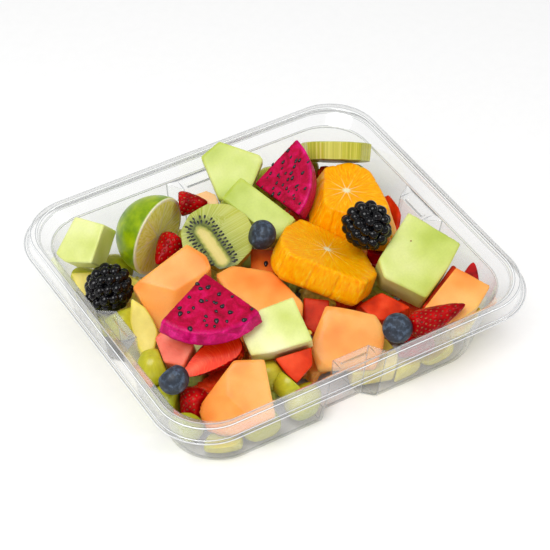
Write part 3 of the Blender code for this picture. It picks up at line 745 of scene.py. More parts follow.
def scattered_in_wedge(count, heading, radius, spread, rng):
    """Evenly strewn places in a wedge: equal areas outwards, golden steps across, a little jitter."""
    step = (np.arange(count) + 0.5) / count
    out = radius * np.sqrt(0.03 + 0.80 * step) + rng.uniform(-2.6, 2.6, count)
    across = (np.arange(count) * (math.sqrt(5) - 1) / 2) % 1 - 0.5
    bearing = np.radians(heading + 0.90 * spread * across + rng.uniform(-9, 9, count))
    return np.column_stack([out * np.cos(bearing), out * np.sin(bearing), np.full(count, 0.02)])


dragon = dragon_flesh()
for name, tip, lean, heading, radius, spread, seed_count, seed_size, slants in DRAGON_WEDGES:
    normals, distances = cuts_of(name)
    turn = turn_of(*lean)
    grid = chunk_grid(normals, distances, middle_of(name), 50, seed_count, rows=110, columns=190)
    own = (grid - np.array(tip)) @ turn
    share = np.hypot(own[..., 0], own[..., 1]) / radius
    finish_piece(name + "_piece", make_mesh(name, [grid], [own], [share]), dragon, [name])
    rng = np.random.default_rng(seed_count)
    spots = scattered_in_wedge(seed_count, heading, radius, spread, rng)
    slant = math.radians(heading) + 0.9 + slants * rng.uniform(-0.5, 0.5, seed_count)
    ways = np.column_stack([np.cos(slant), np.sin(slant), np.zeros(seed_count)]) @ turn.T
    ups = np.broadcast_to(turn[:, 2], ways.shape)
    scales = rng.uniform(0.65, 1.35, seed_count)
    seed_parts = seed_grids(spots @ turn.T + np.array(tip), ways, ups, seed_size, scales)
    finish_piece(name + "_seeds", make_mesh(name + "_seeds", seed_parts), black_seed)
    print(name, "seeds:", seed_count)

# %% [markdown]
# A peeled orange, sliced across: pale membranes meet in a star, and between them thin juice sacs
# point outwards. The outside bulges a little between the membranes, as whole segments do.

# %% Orange
ORANGES = (
    # name, place of the cut face, lean, and the star's place on it
    ("orange_front", (28, -11, 50), (25, 2), (-0.4, -0.1)),
    ("orange_back", (64, 17, 54), (5, 1), (-3.9, 3.2)),
)
SEGMENTS = 10


def ray_places(tree, place, ray_scale, drift):
    """Places for a pattern of rays: ray_scale (x, y) / r plus drift times the place, where r is how
    far out from the axis it lies. Gives the place's parts and r as well."""
    parts, flat, out = from_axis(tree, place)
    ray = add(tree, "VectorMath", {0: flat}, operation="NORMALIZE").outputs["Vector"]
    wide = add(tree, "VectorMath", {0: ray, "Scale": ray_scale}, operation="SCALE").outputs["Vector"]
    slow = add(tree, "VectorMath", {0: place, 1: drift}, operation="MULTIPLY").outputs["Vector"]
    laid = add(tree, "VectorMath", {0: wide, 1: slow}, operation="ADD").outputs["Vector"]
    return parts, out, laid


def membranes(tree, parts, out, segments, full, gone, most):
    """How much of a membrane shows. |sin(n a / 2)| r says how far a place lies from the nearest of
    n membranes, with a for its bearing: most shows up to full, and nothing beyond gone."""
    turn = add(tree, "Math", {0: parts["Y"], 1: parts["X"]}, operation="ARCTAN2").outputs[0]
    fan = add(tree, "Math", {0: turn, 1: segments / 2}, operation="MULTIPLY").outputs[0]
    wave = add(tree, "Math", {0: fan}, operation="SINE").outputs[0]
    width = add(tree, "Math", {0: wave}, operation="ABSOLUTE").outputs[0]
    arc = add(tree, "Math", {0: width, 1: out}, operation="MULTIPLY").outputs[0]
    return add(tree, "MapRange", {"Value": arc, "From Min": full, "From Max": gone,
                                  "To Min": most, "To Max": 0.0}).outputs["Result"]


def orange_flesh():
    """Juice sacs that radiate from the star, pale membranes between segments, wet and clear."""
    material, tree, shader = new_finish("orange_flesh")
    place = add(tree, "Attribute", attribute_name="place").outputs["Vector"]
    parts, out, laid = ray_places(tree, place, 11.0, (0.16, 0.16, 0.16))
    sacs = add(tree, "TexNoise", {"Vector": laid, "Scale": 1.3, "Detail": 4.0, "Roughness": 0.6})
    flesh = add(tree, "ValToRGB", {"Fac": sacs.outputs["Fac"]},
                [(0.26, "#FA8800"), (0.44, "#FFA400"), (0.58, "#FFB404"), (0.74, "#FFD044")])
    wall = membranes(tree, parts, out, SEGMENTS, 0.4, 2.2, 1.0)
    fades = add(tree, "MapRange", {"Value": out, "From Min": 2.5, "From Max": 11.5,
                                   "To Min": 0.90, "To Max": 0.05})
    shows = add(tree, "Math", {0: wall, 1: fades.outputs["Result"]}, operation="MULTIPLY")
    top = add(tree, "MapRange", {"Value": parts["Z"], "From Min": -1.2, "From Max": -0.4})
    on_top = add(tree, "Math", {0: shows.outputs[0], 1: top.outputs["Result"]}, operation="MULTIPLY")
    pale = add(tree, "Mix", {0: on_top.outputs[0], 6: flesh.outputs["Color"], 7: linear("#FFDD96")},
               data_type="RGBA")
    core = add(tree, "MapRange", {"Value": out, "From Min": 1.2, "From Max": 2.6,
                                  "To Min": 1.0, "To Max": 0.0})
    on_core = add(tree, "Math", {0: core.outputs["Result"], 1: top.outputs["Result"]},
                  operation="MULTIPLY")
    colour = add(tree, "Mix", {0: on_core.outputs[0], 6: pale.outputs[2], 7: linear("#FFEFC4")},
                 data_type="RGBA")
    relief = add(tree, "Bump", {"Height": sacs.outputs["Fac"], "Distance": 0.5 * MM, "Strength": 0.7})
    feed(tree, shader, {
        "Base Color": colour.outputs[2], "Normal": relief.outputs["Normal"],
        "Roughness": 0.3, "Specular IOR Level": 0.10, "Coat Weight": 0.06, "Coat Roughness": 0.12,
        "Subsurface Weight": 0.4, "Subsurface Radius": (1.0, 0.5, 0.02),
        "Subsurface Scale": 2.0 * MM,
    })
    return material


def scalloped(own):
    """Draw the sides in by up to 3.5 % along each membrane, so that every segment bulges a little."""
    out, turn = np.hypot(own[..., 0], own[..., 1]), np.arctan2(own[..., 1], own[..., 0])
    from_wall = np.abs(np.sin(turn * SEGMENTS / 2)) * out
    draw = 0.035 * np.exp(-(from_wall / 3.5) ** 2) * np.clip(out / 8 - 1, 0, 1)
    return own * np.stack([1 - draw, 1 - draw, np.ones_like(draw)], axis=-1)


orange = orange_flesh()
for name, at, lean, star in ORANGES:
    normals, distances = cuts_of(name)
    turn = turn_of(*lean)
    grid = chunk_grid(normals, distances, middle_of(name), 30, 8, wobble=2.5, rows=120, columns=220)
    star = np.array((*star, 0.0))
    own = scalloped((grid - np.array(at)) @ turn - star)
    grid = (own + star) @ turn.T + np.array(at)
    finish_piece(name + "_piece", make_mesh(name, [grid], [own]), orange, [name])
print("oranges:", len(ORANGES))

# %% [markdown]
# A kiwi slice shows a cream core, a dark green halo with black seeds that point outwards, and
# bright flesh with pale rays. The slice was cut at a slant, so its core is long. Distances are
# measured from the core's middle line and not from one centre.

# %% Kiwi
KIWI_RADIUS = 20.5
KIWI_SEEDS = 72
CORE_ROUND = 6.0            # radius of the rounded ends of the core's outline
RIM_POWER = 0.16
KIWIS = (
    # name, place, lean, thickness, spin, the core's middle, its direction and half its length
    ("kiwi_slice_front", (-18, 29, 49), (22, -125), 8.0, 12, (6.0, -2.5), 36.0, 10.5),
    ("kiwi_slice_back", (80, 61, 50), (44, 58), 10.5, 0, (0.0, 0.0), 90.0, 3.0),
)


def slice_grid(radius, thick, rows=70, columns=200):
    """A round slice with eased rims: a superellipse section carried round the axis."""
    polar = np.linspace(0, math.pi, rows)
    sine, cosine = np.sin(polar), np.cos(polar)
    out = radius * np.sign(sine) * np.abs(sine) ** RIM_POWER * (np.abs(sine) > 1e-9)
    up = thick / 2 * (np.sign(cosine) * np.abs(cosine) ** RIM_POWER - 1)
    return turned(out, up, columns)


def kiwi_flesh():
    """Kiwi: cream core, dark halo, bright flesh with pale rays, and a streaked peeled edge."""
    material, tree, shader = new_finish("kiwi_flesh")
    place = add(tree, "Attribute", attribute_name="place").outputs["Vector"]
    edge = add(tree, "Attribute", attribute_name="mark").outputs["Fac"]
    _, out, laid = ray_places(tree, place, 12.0, (0.0, 0.0, 1.7))
    rays = add(tree, "TexNoise", {"Vector": laid, "Scale": 1.4, "Detail": 3.0, "Roughness": 0.6})
    cloud = add(tree, "TexNoise", {"Vector": place, "Scale": 0.5, "Detail": 2.0})
    wavy = add(tree, "Math", {0: cloud.outputs["Fac"], 1: 1.8, 2: out}, operation="MULTIPLY_ADD")
    share = add(tree, "MapRange", {"Value": wavy.outputs[0], "From Max": 20.0})
    zones = add(tree, "ValToRGB", {"Fac": share.outputs["Result"]},
                [(0.0, "#DDCE84"), (0.16, "#D3C570"), (0.215, "#A2A444"), (0.27, "#525E14"),
                 (0.42, "#68741A"), (0.58, "#98A02A"), (0.80, "#A8AC30"), (1.0, "#B4B638")])
    streak = add(tree, "MapRange", {"Value": rays.outputs["Fac"], "From Min": 0.38, "From Max": 0.62})
    outer = add(tree, "MapRange", {"Value": out, "From Min": 4.5, "From Max": 9.0, "To Max": 0.62})
    much = add(tree, "Math", {0: streak.outputs["Result"], 1: outer.outputs["Result"]},
               operation="MULTIPLY")
    face = add(tree, "Mix", {0: much.outputs[0], 6: zones.outputs["Color"], 7: linear("#CCD284")},
               data_type="RGBA")
    peel = add(tree, "ValToRGB", {"Fac": rays.outputs["Fac"]},
               [(0.32, "#A4A428"), (0.46, "#BAB838"), (0.58, "#CCC848"), (0.72, "#E6DE88")])
    colour = add(tree, "Mix", {0: edge, 6: face.outputs[2], 7: peel.outputs["Color"]},
                 data_type="RGBA")
    relief = add(tree, "Bump", {"Height": rays.outputs["Fac"], "Distance": 0.3 * MM, "Strength": 0.5})
    feed(tree, shader, {
        "Base Color": colour.outputs[2], "Normal": relief.outputs["Normal"],
        "Roughness": 0.3, "Specular IOR Level": 0.4, "Coat Weight": 0.15, "Coat Roughness": 0.2,
        "Subsurface Weight": 0.2, "Subsurface Radius": (0.6, 1.0, 0.2),
        "Subsurface Scale": 2.0 * MM,
    })
    return material


def kiwi_seed_spots(half_length, count, rng):
    """Seed places round the core's middle line, as many along its straight sides as they are long."""
    straight = 2 * half_length
    whole = 2 * straight + 2 * math.pi * CORE_ROUND
    walk = (np.arange(count) + rng.uniform(0.1, 0.9, count)) / count * whole
    reach = 5.9 + 1.9 * (np.arange(count) % 2) + rng.uniform(-0.5, 0.9, count)
    spots, rays = np.zeros((count, 2)), np.zeros((count, 2))
    on_side = (walk < straight) | ((walk > whole / 2) & (walk < whole / 2 + straight))
    shift = np.where(walk < whole / 2, walk, walk - whole / 2) - half_length
    end_turn = (shift - half_length) / CORE_ROUND
    end = np.where(walk < whole / 2, 1.0, -1.0)
    rays[:, 0] = np.where(on_side, 0.0, end * np.sin(end_turn))
    rays[:, 1] = np.where(on_side, np.where(walk < whole / 2, 1.0, -1.0), end * np.cos(end_turn))
    spots[:, 0] = np.where(on_side, end * shift, end * half_length)
    spots += rays * reach[:, None]
    return spots, rays


kiwi = kiwi_flesh()
for name, at, lean, thick, spin, core, heading, half_length in KIWIS:
    local = slice_grid(KIWI_RADIUS, thick)
    turn = turn_of(*lean, spin)
    world_grid = local @ turn.T + np.array(at)
    grid = pressed(world_grid, *cuts_of(name))
    flat_turn = turn_of(*lean)
    core_turn = np.array(Matrix.Rotation(math.radians(heading), 3, "Z"))
    own = ((grid - np.array(at)) @ flat_turn - np.array((*core, 0.0))) @ core_turn
    along = np.clip(own[..., 0], -half_length, half_length)
    edge = np.clip((-0.5 - own[..., 2]) / 0.4, 0, 1) * np.clip((thick - 0.5 + own[..., 2]) / 0.4, 0, 1)
    own = np.stack([own[..., 0] - along, own[..., 1], along], axis=-1)
    finish_piece(name + "_piece", make_mesh(name, [grid], [own], [edge]), kiwi, [name])
    rng = np.random.default_rng(4)
    spots, rays = kiwi_seed_spots(half_length, KIWI_SEEDS, rng)
    to_slice = core_turn[:2, :2]
    flat_spots = spots @ to_slice.T + np.array(core)
    inside = np.hypot(*flat_spots.T) < KIWI_RADIUS - 1.5
    flat_spots, rays = flat_spots[inside], (rays @ to_slice.T)[inside]
    places = np.column_stack([flat_spots, np.full(len(flat_spots), 0.02)]) @ flat_turn.T + np.array(at)
    ways = np.column_stack([-rays, np.zeros(len(rays))]) @ flat_turn.T
    ups = np.broadcast_to(flat_turn[:, 2], ways.shape)
    seed_parts = seed_grids(places, ways, ups, (2.4, 1.15, 0.6))
    finish_piece(name + "_seeds", make_mesh(name + "_seeds", seed_parts), black_seed)
    print(name, "seeds:", len(places))

# %% [markdown]
# Half a lime keeps its rind: waxy, green and full of pores, with a white pith line round the cut.
# The cut face shows segments between thin membranes.

# %% Lime
LIME_AT = (-39, 58, 35)
LIME_LEAN = (89, -64)
LIME_RADIUS = 23.0
LIME_SEGMENTS = 7


def half_lime_grid(rows=120, columns=180):
    """From the middle of the cut face to its rim, over an eased edge, and down the dome."""
    cut_rows = rows // 3
    slope = np.linspace(0.06, math.pi / 2, rows - cut_rows)
    out = np.concatenate([np.linspace(0, 0.985, cut_rows), np.cos(slope)])
    down = np.concatenate([np.zeros(cut_rows), np.sin(slope)])
    return turned(out * LIME_RADIUS, -down * LIME_RADIUS * 1.03, columns)


def lime_rind_and_flesh():
    """Waxed rind with oil pores outside, pith and juicy segments on the cut face."""
    material, tree, shader = new_finish("lime_rind_and_flesh")
    place = add(tree, "Attribute", attribute_name="place").outputs["Vector"]
    parts, out, laid = ray_places(tree, place, 9.0, (0.18, 0.18, 0.18))
    sacs = add(tree, "TexNoise", {"Vector": laid, "Scale": 1.2, "Detail": 3.0})
    flesh = add(tree, "ValToRGB", {"Fac": sacs.outputs["Fac"]},
                [(0.30, "#DCDC54"), (0.50, "#F0F078"), (0.70, "#FAFAB8")])
    wall = membranes(tree, parts, out, LIME_SEGMENTS, 0.8, 2.0, 0.8)
    pulp = add(tree, "Mix", {0: wall, 6: flesh.outputs["Color"], 7: linear("#E6E4B4")},
               data_type="RGBA")
    pith = add(tree, "MapRange", {"Value": out, "From Min": LIME_RADIUS - 2.2,
                                  "From Max": LIME_RADIUS - 1.7})
    face = add(tree, "Mix", {0: pith.outputs["Result"], 6: pulp.outputs[2], 7: linear("#EEEBC8")},
               data_type="RGBA")
    mottle = add(tree, "TexNoise", {"Vector": place, "Scale": 0.12, "Detail": 3.0, "Roughness": 0.5})
    rind = add(tree, "ValToRGB", {"Fac": mottle.outputs["Fac"]},
               [(0.28, "#5A8000"), (0.50, "#86A400"), (0.70, "#AABE08"), (0.90, "#C4D22C")])
    pores = add(tree, "TexVoronoi", {"Vector": place, "Scale": 0.8})
    pit = add(tree, "MapRange", {"Value": pores.outputs["Distance"], "From Max": 0.45,
                                 "To Min": 0.90, "To Max": 1.03})
    dotted = add(tree, "VectorMath", {0: rind.outputs["Color"], "Scale": pit.outputs["Result"]},
                 operation="SCALE")
    outside = add(tree, "MapRange", {"Value": parts["Z"], "From Min": -0.4, "From Max": -1.1})
    colour = add(tree, "Mix", {0: outside.outputs["Result"], 6: face.outputs[2],
                               7: dotted.outputs["Vector"]}, data_type="RGBA")
    height = add(tree, "Mix", {0: outside.outputs["Result"], 2: sacs.outputs["Fac"],
                               3: pit.outputs["Result"]})
    relief = add(tree, "Bump", {"Height": height.outputs[0], "Distance": 0.5 * MM, "Strength": 0.6})
    feed(tree, shader, {
        "Base Color": colour.outputs[2], "Normal": relief.outputs["Normal"],
        "Roughness": 0.32, "Specular IOR Level": 0.3, "Coat Weight": 0.1, "Coat Roughness": 0.2,
        "Subsurface Weight": 0.7, "Subsurface Radius": (1.0, 0.9, 0.2),
        "Subsurface Scale": 5.0 * MM,
    })
    return material


lime = lime_rind_and_flesh()
own = half_lime_grid()
world_grid = own @ turn_of(*LIME_LEAN).T + np.array(LIME_AT)
grid = pressed(world_grid, *true_cuts("lime_half", world_grid))
finish_piece("lime_half_piece", make_mesh("lime_half", [grid], [own]), lime, ["lime_half"])
print("lime across:", 2 * LIME_RADIUS, "mm")

# %% [markdown]
# The grape at the front left, and all the grapes of the bed, are smooth ovals that let light
# through. Their skin has faint lines that run from the stalk to the far end.

# %% Grape
GRAPE_RADII = (9.6, 9.6, 11.5)
FRONT_GRAPE_AT, FRONT_GRAPE_RADII = (-86, -19.5, 25), (10, 9.5, 10.5)
FRONT_GRAPE_SOFTNESS = 0.4


def oval_grid(radii, rows=40, columns=56):
    """An oval with a shallow dimple where the stalk was."""
    looks = directions(rows, columns)
    dimple = 1 - 0.05 * np.exp(-((1 - looks[..., 2]) / 0.02) ** 2)
    return looks * np.array(radii) * dimple[..., None]


def grape_skin():
    """Green grape: thin taut skin over clear flesh, with faint lines from pole to pole."""
    material, tree, shader = new_finish("green_grape_skin")
    place = add(tree, "Attribute", attribute_name="place").outputs["Vector"]
    _, _, laid = ray_places(tree, place, 1.0, (0.08, 0.08, 0.08))
    lines = add(tree, "TexNoise", {"Vector": laid, "Scale": 3.4, "Detail": 3.0})
    where = add(tree, "TexCoord").outputs["Object"]
    ripe = add(tree, "TexNoise", {"Vector": where, "Scale": 1 / (30 * MM), "Detail": 1.0})
    green = add(tree, "ValToRGB", {"Fac": ripe.outputs["Fac"]},
                [(0.32, "#A2A820"), (0.50, "#BAB62A"), (0.68, "#D2C63A")])
    vein = add(tree, "MapRange", {"Value": lines.outputs["Fac"], "From Min": 0.35, "From Max": 0.68,
                                  "To Min": 0.94, "To Max": 1.08})
    shaded = add(tree, "VectorMath", {0: green.outputs["Color"], "Scale": vein.outputs["Result"]},
                 operation="SCALE")
    feed(tree, shader, {
        "Base Color": shaded.outputs["Vector"], "Roughness": 0.25, "Specular IOR Level": 0.3,
        "Coat Weight": 0.1, "Coat Roughness": 0.15, "Subsurface Weight": 0.45,
        "Subsurface Radius": (0.8, 1.0, 0.2), "Subsurface Scale": 4.0 * MM,
    })
    return material


grape = grape_skin()
own = oval_grid(FRONT_GRAPE_RADII, 60, 90)
world_grid = own + np.array(FRONT_GRAPE_AT)
grid = pressed(world_grid, *true_cuts("grape_front_left", world_grid), FRONT_GRAPE_SOFTNESS)
finish_piece("grape_front_left_piece", make_mesh("grape_front_left", [grid], [own]), grape,
             ["grape_front_left"])
print("grape length:", 2 * FRONT_GRAPE_RADII[2], "mm")

# %% [markdown]
# Under the pieces that show lies the bed: grapes along the walls, larger chunks inside, and a
# chunk under each piece that lies high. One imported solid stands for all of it. Here the real
# grapes and chunks take its place, each pressed flat against the pieces above by the plane that
# parts the two with the least push.

# %% Lay the bed
GAP = 0.35
OFF_SHEET = 1.2
WALL_SOFTNESS, NEIGHBOUR_SOFTNESS = 0.7, 0.9
RIM_LENGTH, RIM_WIDTH = 220.0, 193.4
BED_SEED = 7
WALL_GRAPES = (
    (-73, -71, 6), (-51, -71, 9.5), (-23.5, -70, 11.5), (39, -71, 8), (60, -71, 9), (80, -62, 11),
    (-33, -51, 21), (-25, -62, 20), (-85, -53, 11), (-85, -38, 17), (-81, 21, 21), (-88, 32, 17),
    (-86, -8, 10), (-87, -29, 11)
)
RING_SPACING = 21.0
RING_FROM = -56.0
CHUNK_COLUMNS = (-59.0, -29.5, 0.0, 29.5, 59.0)
CHUNK_ROWS = (-45.0, -15.0, 15.0, 45.0)
CHUNK_SIDE, CHUNK_THICK = 33.0, 16.0
PROP_SIDE = 24.0
HIGH = 20.0
LARGE = 9100.0
DEEPEST_PRESS = 4.5
TRIED = evenly_round(700)
upper = {name: corner_grid(name).reshape(-1, 3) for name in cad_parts
         if name not in ("tray", "lower_heap")}


def press_depth(above, below):
    """How deep two sets of points cross, and the direction that parts them with the least push."""
    rng = np.random.default_rng(BED_SEED)
    ways, best, way = TRIED, np.inf, None
    for spread in (0.08, 0.03, 0.01, 0.003):
        depth = (above @ ways.T).max(axis=0) - (below @ ways.T).min(axis=0)
        index = depth.argmin()
        if depth[index] < best:
            best, way = depth[index], ways[index]
        near = way + rng.normal(0, spread, (120, 3))
        ways = near / np.linalg.norm(near, axis=1, keepdims=True)
    return best, way


def tray_planes():
    """Planes just inside the tray's floor, walls and corners."""
    profile = ((21.5, 0, 24), (18.8, 0.8, 26), (16.8, 6, 27.3), (10, 43.6, 25.4))
    normals, distances = [np.array([0, 0, -1.0])], [-OFF_SHEET]
    for (inset0, z0, r0), (inset1, z1, r1) in zip(profile, profile[1:]):
        for bearing in np.arange(0, 360, 7.5):
            flat = np.array([math.cos(math.radians(bearing)), math.sin(math.radians(bearing)), 0])
            reach = [(RIM_LENGTH / 2 - inset - r) * abs(flat[0])
                     + (RIM_WIDTH / 2 - inset - r) * abs(flat[1]) + 0.99 * r
                     for inset, r in ((inset0, r0), (inset1, r1))]
            normal = flat * (z1 - z0) - np.array([0, 0, reach[1] - reach[0]])
            normal /= np.linalg.norm(normal)
            normals.append(normal)
            distances.append((flat * reach[0] + np.array([0, 0, z0])) @ normal - OFF_SHEET)
    return np.array(normals), np.array(distances)


def lug_corners():
    """The corners of the four lugs, each as one set of points."""
    sets = []
    for quarter in range(4):
        turn = np.array(Matrix.Rotation(math.radians(90 * quarter), 3, "Z"))
        forward = (RIM_LENGTH if quarter % 2 == 0 else RIM_WIDTH) / 2
        corners = [(forward - inset - inward, side * half, height)
                   for height, inset, depth in ((0, 19.0, 6.0), (44.0, 10.0, 9.0))
                   for half, inward in ((18.5, 0), (11.5, depth + 1.0)) for side in (-1, 1)]
        sets.append(np.array(corners) @ turn.T)
    return sets


WALLS = tray_planes()
ABOVE = lug_corners() + list(upper.values())


def planes_above(below, most):
    """The planes that part a member of the bed from all above it, or None if one goes too deep."""
    normals, distances = [], []
    for points in ABOVE:
        apart = points.max(axis=0) + GAP < below.min(axis=0)
        apart |= below.max(axis=0) + GAP < points.min(axis=0)
        if apart.any():
            continue
        depth, way = press_depth(points, below)
        if depth > most:
            return None
        if depth > -GAP:
            normals.append(-way)
            distances.append(-((points @ way).max() + GAP))
            below = pressed(below, normals[-1:], distances[-1:])
    return np.array(normals).reshape(-1, 3), np.array(distances)


def wall_ring(inset, height):
    """Evenly spaced places along the inside of the walls, with the bearing of the wall."""
    half_x, half_y = RIM_LENGTH / 2 - inset, RIM_WIDTH / 2 - inset
    for half, other, bearing in ((half_x, half_y, 0), (half_y, half_x, 90)):
        count = round(2 * half / RING_SPACING)
        for step in range(count):
            along = -half + 2 * half * step / count
            for side in (-1, 1):
                x, y = (side * along, side * other) if bearing == 0 else (-side * other, side * along)
                if y > RING_FROM and (x > 0 or y > RING_FROM + 90):
                    yield (x, y, height), bearing


bed = np.random.default_rng(BED_SEED)
grape_grids, grape_places = [], []
spots = [(spot, 0, math.inf) for spot in WALL_GRAPES]
for inset, height in ((27.5, 10.5), (25.0, 28.0)):
    spots += [(spot, bearing, DEEPEST_PRESS) for spot, bearing in wall_ring(inset, height)]
for spot, bearing, most in spots:
    turn = turn_of(90 + bed.uniform(-14, 14), bearing + bed.uniform(-30, 30))
    own = oval_grid(GRAPE_RADII)
    grid = pressed(own @ turn.T + np.array(spot), *WALLS, WALL_SOFTNESS)
    planes = planes_above(grid.reshape(-1, 3), most)
    if planes is not None:
        grape_grids.append(pressed(grid, *planes, NEIGHBOUR_SOFTNESS))
        grape_places.append(own)
finish_piece("bed_of_grapes", make_mesh("bed_of_grapes", grape_grids, grape_places), grape,
             ["lower_heap"])
print("grapes in the bed:", len(grape_grids))

# %% [markdown]
# The chunks of the bed use the same soft block as the pieces above. They are shared out among the
# kinds of fruit, so that what shows through a gap or through the wall is varied.

# %% Chunks of the bed
BED_WOBBLE = 40.0           # far more than a knife's: it draws each chunk in by about a quarter


def block_cuts(at, turn, side, thick):
    """The six cuts of a square chunk whose top face is centred on a point."""
    normals = np.concatenate([turn.T, -turn.T])
    offsets = np.array([side / 2, side / 2, 0, side / 2, side / 2, thick])
    return normals, normals @ np.array(at) + offsets


def bed_chunk(at, lean, side, thick, seed):
    """A chunk's grid after the walls and all that lies above have trimmed it, or None if little is left."""
    turn = turn_of(*lean)
    normals, distances = block_cuts(at, turn, side, thick)
    looks = directions(14, 20)
    centre = np.array(at) - turn[:, 2] * thick / 2
    rough = soft_block(normals, distances, centre, looks, 60)
    rough = pressed(rough, *WALLS)
    planes = planes_above(rough.reshape(-1, 3), math.inf)
    normals = np.concatenate([normals, WALLS[0], planes[0]])
    distances = np.concatenate([distances, WALLS[1], planes[1]])
    middle = pressed(rough, *planes).reshape(-1, 3).mean(axis=0)
    room = distances - normals @ middle
    if room.min() < 1.0:
        return None
    return chunk_grid(normals, distances, middle, 26, seed, wobble=BED_WOBBLE, rows=60)


members = []
for name, points in upper.items():
    a, b, c = corner_grid(name).transpose(1, 0, 2)
    volume = (a * np.cross(b, c)).sum() / 6
    low = points[:, 2].min()
    if low > HIGH and volume > LARGE:
        x, y, _ = np.unique(np.round(points, 2), axis=0).mean(axis=0)
        members.append(((x, y, low + 7), (bed.uniform(2, 8), bed.uniform(0, 360)), PROP_SIDE, low - 3))
for y in CHUNK_ROWS:
    for x in CHUNK_COLUMNS:
        at = (x, y, bed.uniform(18, 21))
        members.append((at, (bed.uniform(3, 9), bed.uniform(0, 360)), CHUNK_SIDE, CHUNK_THICK))
BED_KINDS = ("honeydew", "cantaloupe", "pineapple", "watermelon")
grids = {kind: [] for kind in BED_KINDS}
for index, (at, lean, side, thick) in enumerate(members):
    grid = bed_chunk(at, lean, side, thick, index)
    if grid is not None:
        grids[BED_KINDS[index % len(BED_KINDS)]].append(grid)
for kind in BED_KINDS:
    finish_piece("bed_of_" + kind, make_mesh("bed_of_" + kind, grids[kind]), fleshes[kind],
                 ["lower_heap"])
    print("chunks of", kind, "in the bed:", len(grids[kind]))

# %% [markdown]
# The tray is thermoformed from one clear sheet: a floor, leaning walls, a sloping shoulder, a
# raised bead and a skirt that hangs outside. A lug stands in the middle of each side, with a
# shallow slot in its ledge. The section is a line with narrow bends, because it is the narrow
# bends that catch the light as thin bright lines; the sheet's finish adds them as painted lines too.

# %% Section of the tray
SHEET = 0.45
SECTION_START = (26.0, 0.3)
SECTION_BENDS = (
    # inset from the rim's outer line, height, how far the bend is eased along both legs
    (17.6, 0.3, 3.5),
    (10.15, 43.4, 0.7),
    (5.0, 48.6, 0.6),
    (3.8, 50.75, 0.8),
    (0.7, 50.75, 0.8),
    (-0.55, 43.4, 0.6),
)
SECTION_END = (-2.7, 42.85)
BEND_STEPS = 5
HOLD = 0.5                  # a ring this far beyond each bend keeps the flats flat
RADIUS_BY_INSET = ((-2.7, -0.5, 1.0, 5.0, 10.2, 16.8, 26.0),
                   (31.0, 29.0, 27.8, 27.0, 25.6, 27.3, 20.0))
LEDGE_HEIGHT = 42.55
# each ring of the lug's ledge: share of the lug's depth, and how far its slot dips
LEDGE = ((1.0, 0.0), (0.97, 0.0), (0.86, 0.0), (0.84, 1.3), (0.60, 1.3), (0.58, 0.0), (0.30, 0.0),
         (0.0, 0.0))


def eased_section():
    """The section's line: at each bend a quadratic curve between points eased back along both legs.
    The third number says how near the bend's middle a point lies."""
    corners = np.array([SECTION_START] + [bend[:2] for bend in SECTION_BENDS] + [SECTION_END])
    line = [(*corners[0], 0.0)]
    for before, corner, after, bend in zip(corners, corners[1:], corners[2:], SECTION_BENDS):
        back = (before - corner) / np.linalg.norm(before - corner)
        on = (after - corner) / np.linalg.norm(after - corner)
        start, end = corner + back * bend[2], corner + on * bend[2]
        t = np.linspace(0, 1, BEND_STEPS)[:, None]
        curve = (1 - t) ** 2 * start + 2 * t * (1 - t) * corner + t ** 2 * end
        line.append((*(start + back * HOLD), 0.0))
        line += np.column_stack([curve, 1 - np.abs(2 * t[:, 0] - 1)]).tolist()
        line.append((*(end + on * HOLD), 0.0))
    return np.array(line + [(*corners[-1], 1.0)])


tray_levels = []
for inset, height, near_bend in eased_section():
    if height > LEDGE_HEIGHT and len(tray_levels) and tray_levels[-1][1] < LEDGE_HEIGHT:
        for index, (share, dip) in enumerate(LEDGE):
            tray_levels.append((10.3 - 0.01 * index, LEDGE_HEIGHT + 0.01 + 0.03 * index, share, dip, 0.0))
    tray_levels.append((inset, height, float(height < LEDGE_HEIGHT and inset > 5), 0.0, near_bend))
print("levels of the tray:", len(tray_levels))

# %% [markdown]
# Each level of the section is carried round an oblong with rounded corners. At a lug the path
# steps in over slanting flanks. Every point also carries a mark that says how near a bend it lies,
# from which the sheet's finish paints its highlight lines and grey lines.

# %% Carry the section round
LUG_TOP, LUG_HALF_WALL, LUG_HALF_FACE = 43.0, 17.5, 11.0
LUG_DEPTH_FLOOR, LUG_DEPTH_TOP = 6.0, 9.0
LUG_COLUMNS = np.array([0, 2.75, 5.5, 7.6, 7.9, 8.2, 8.5, 9.6, 10.6, 11, 11.4, 12.5, 14, 15.5, 17.1,
                        17.5, 17.9, 19.5, 22])
FLANK_MARK = 0.7


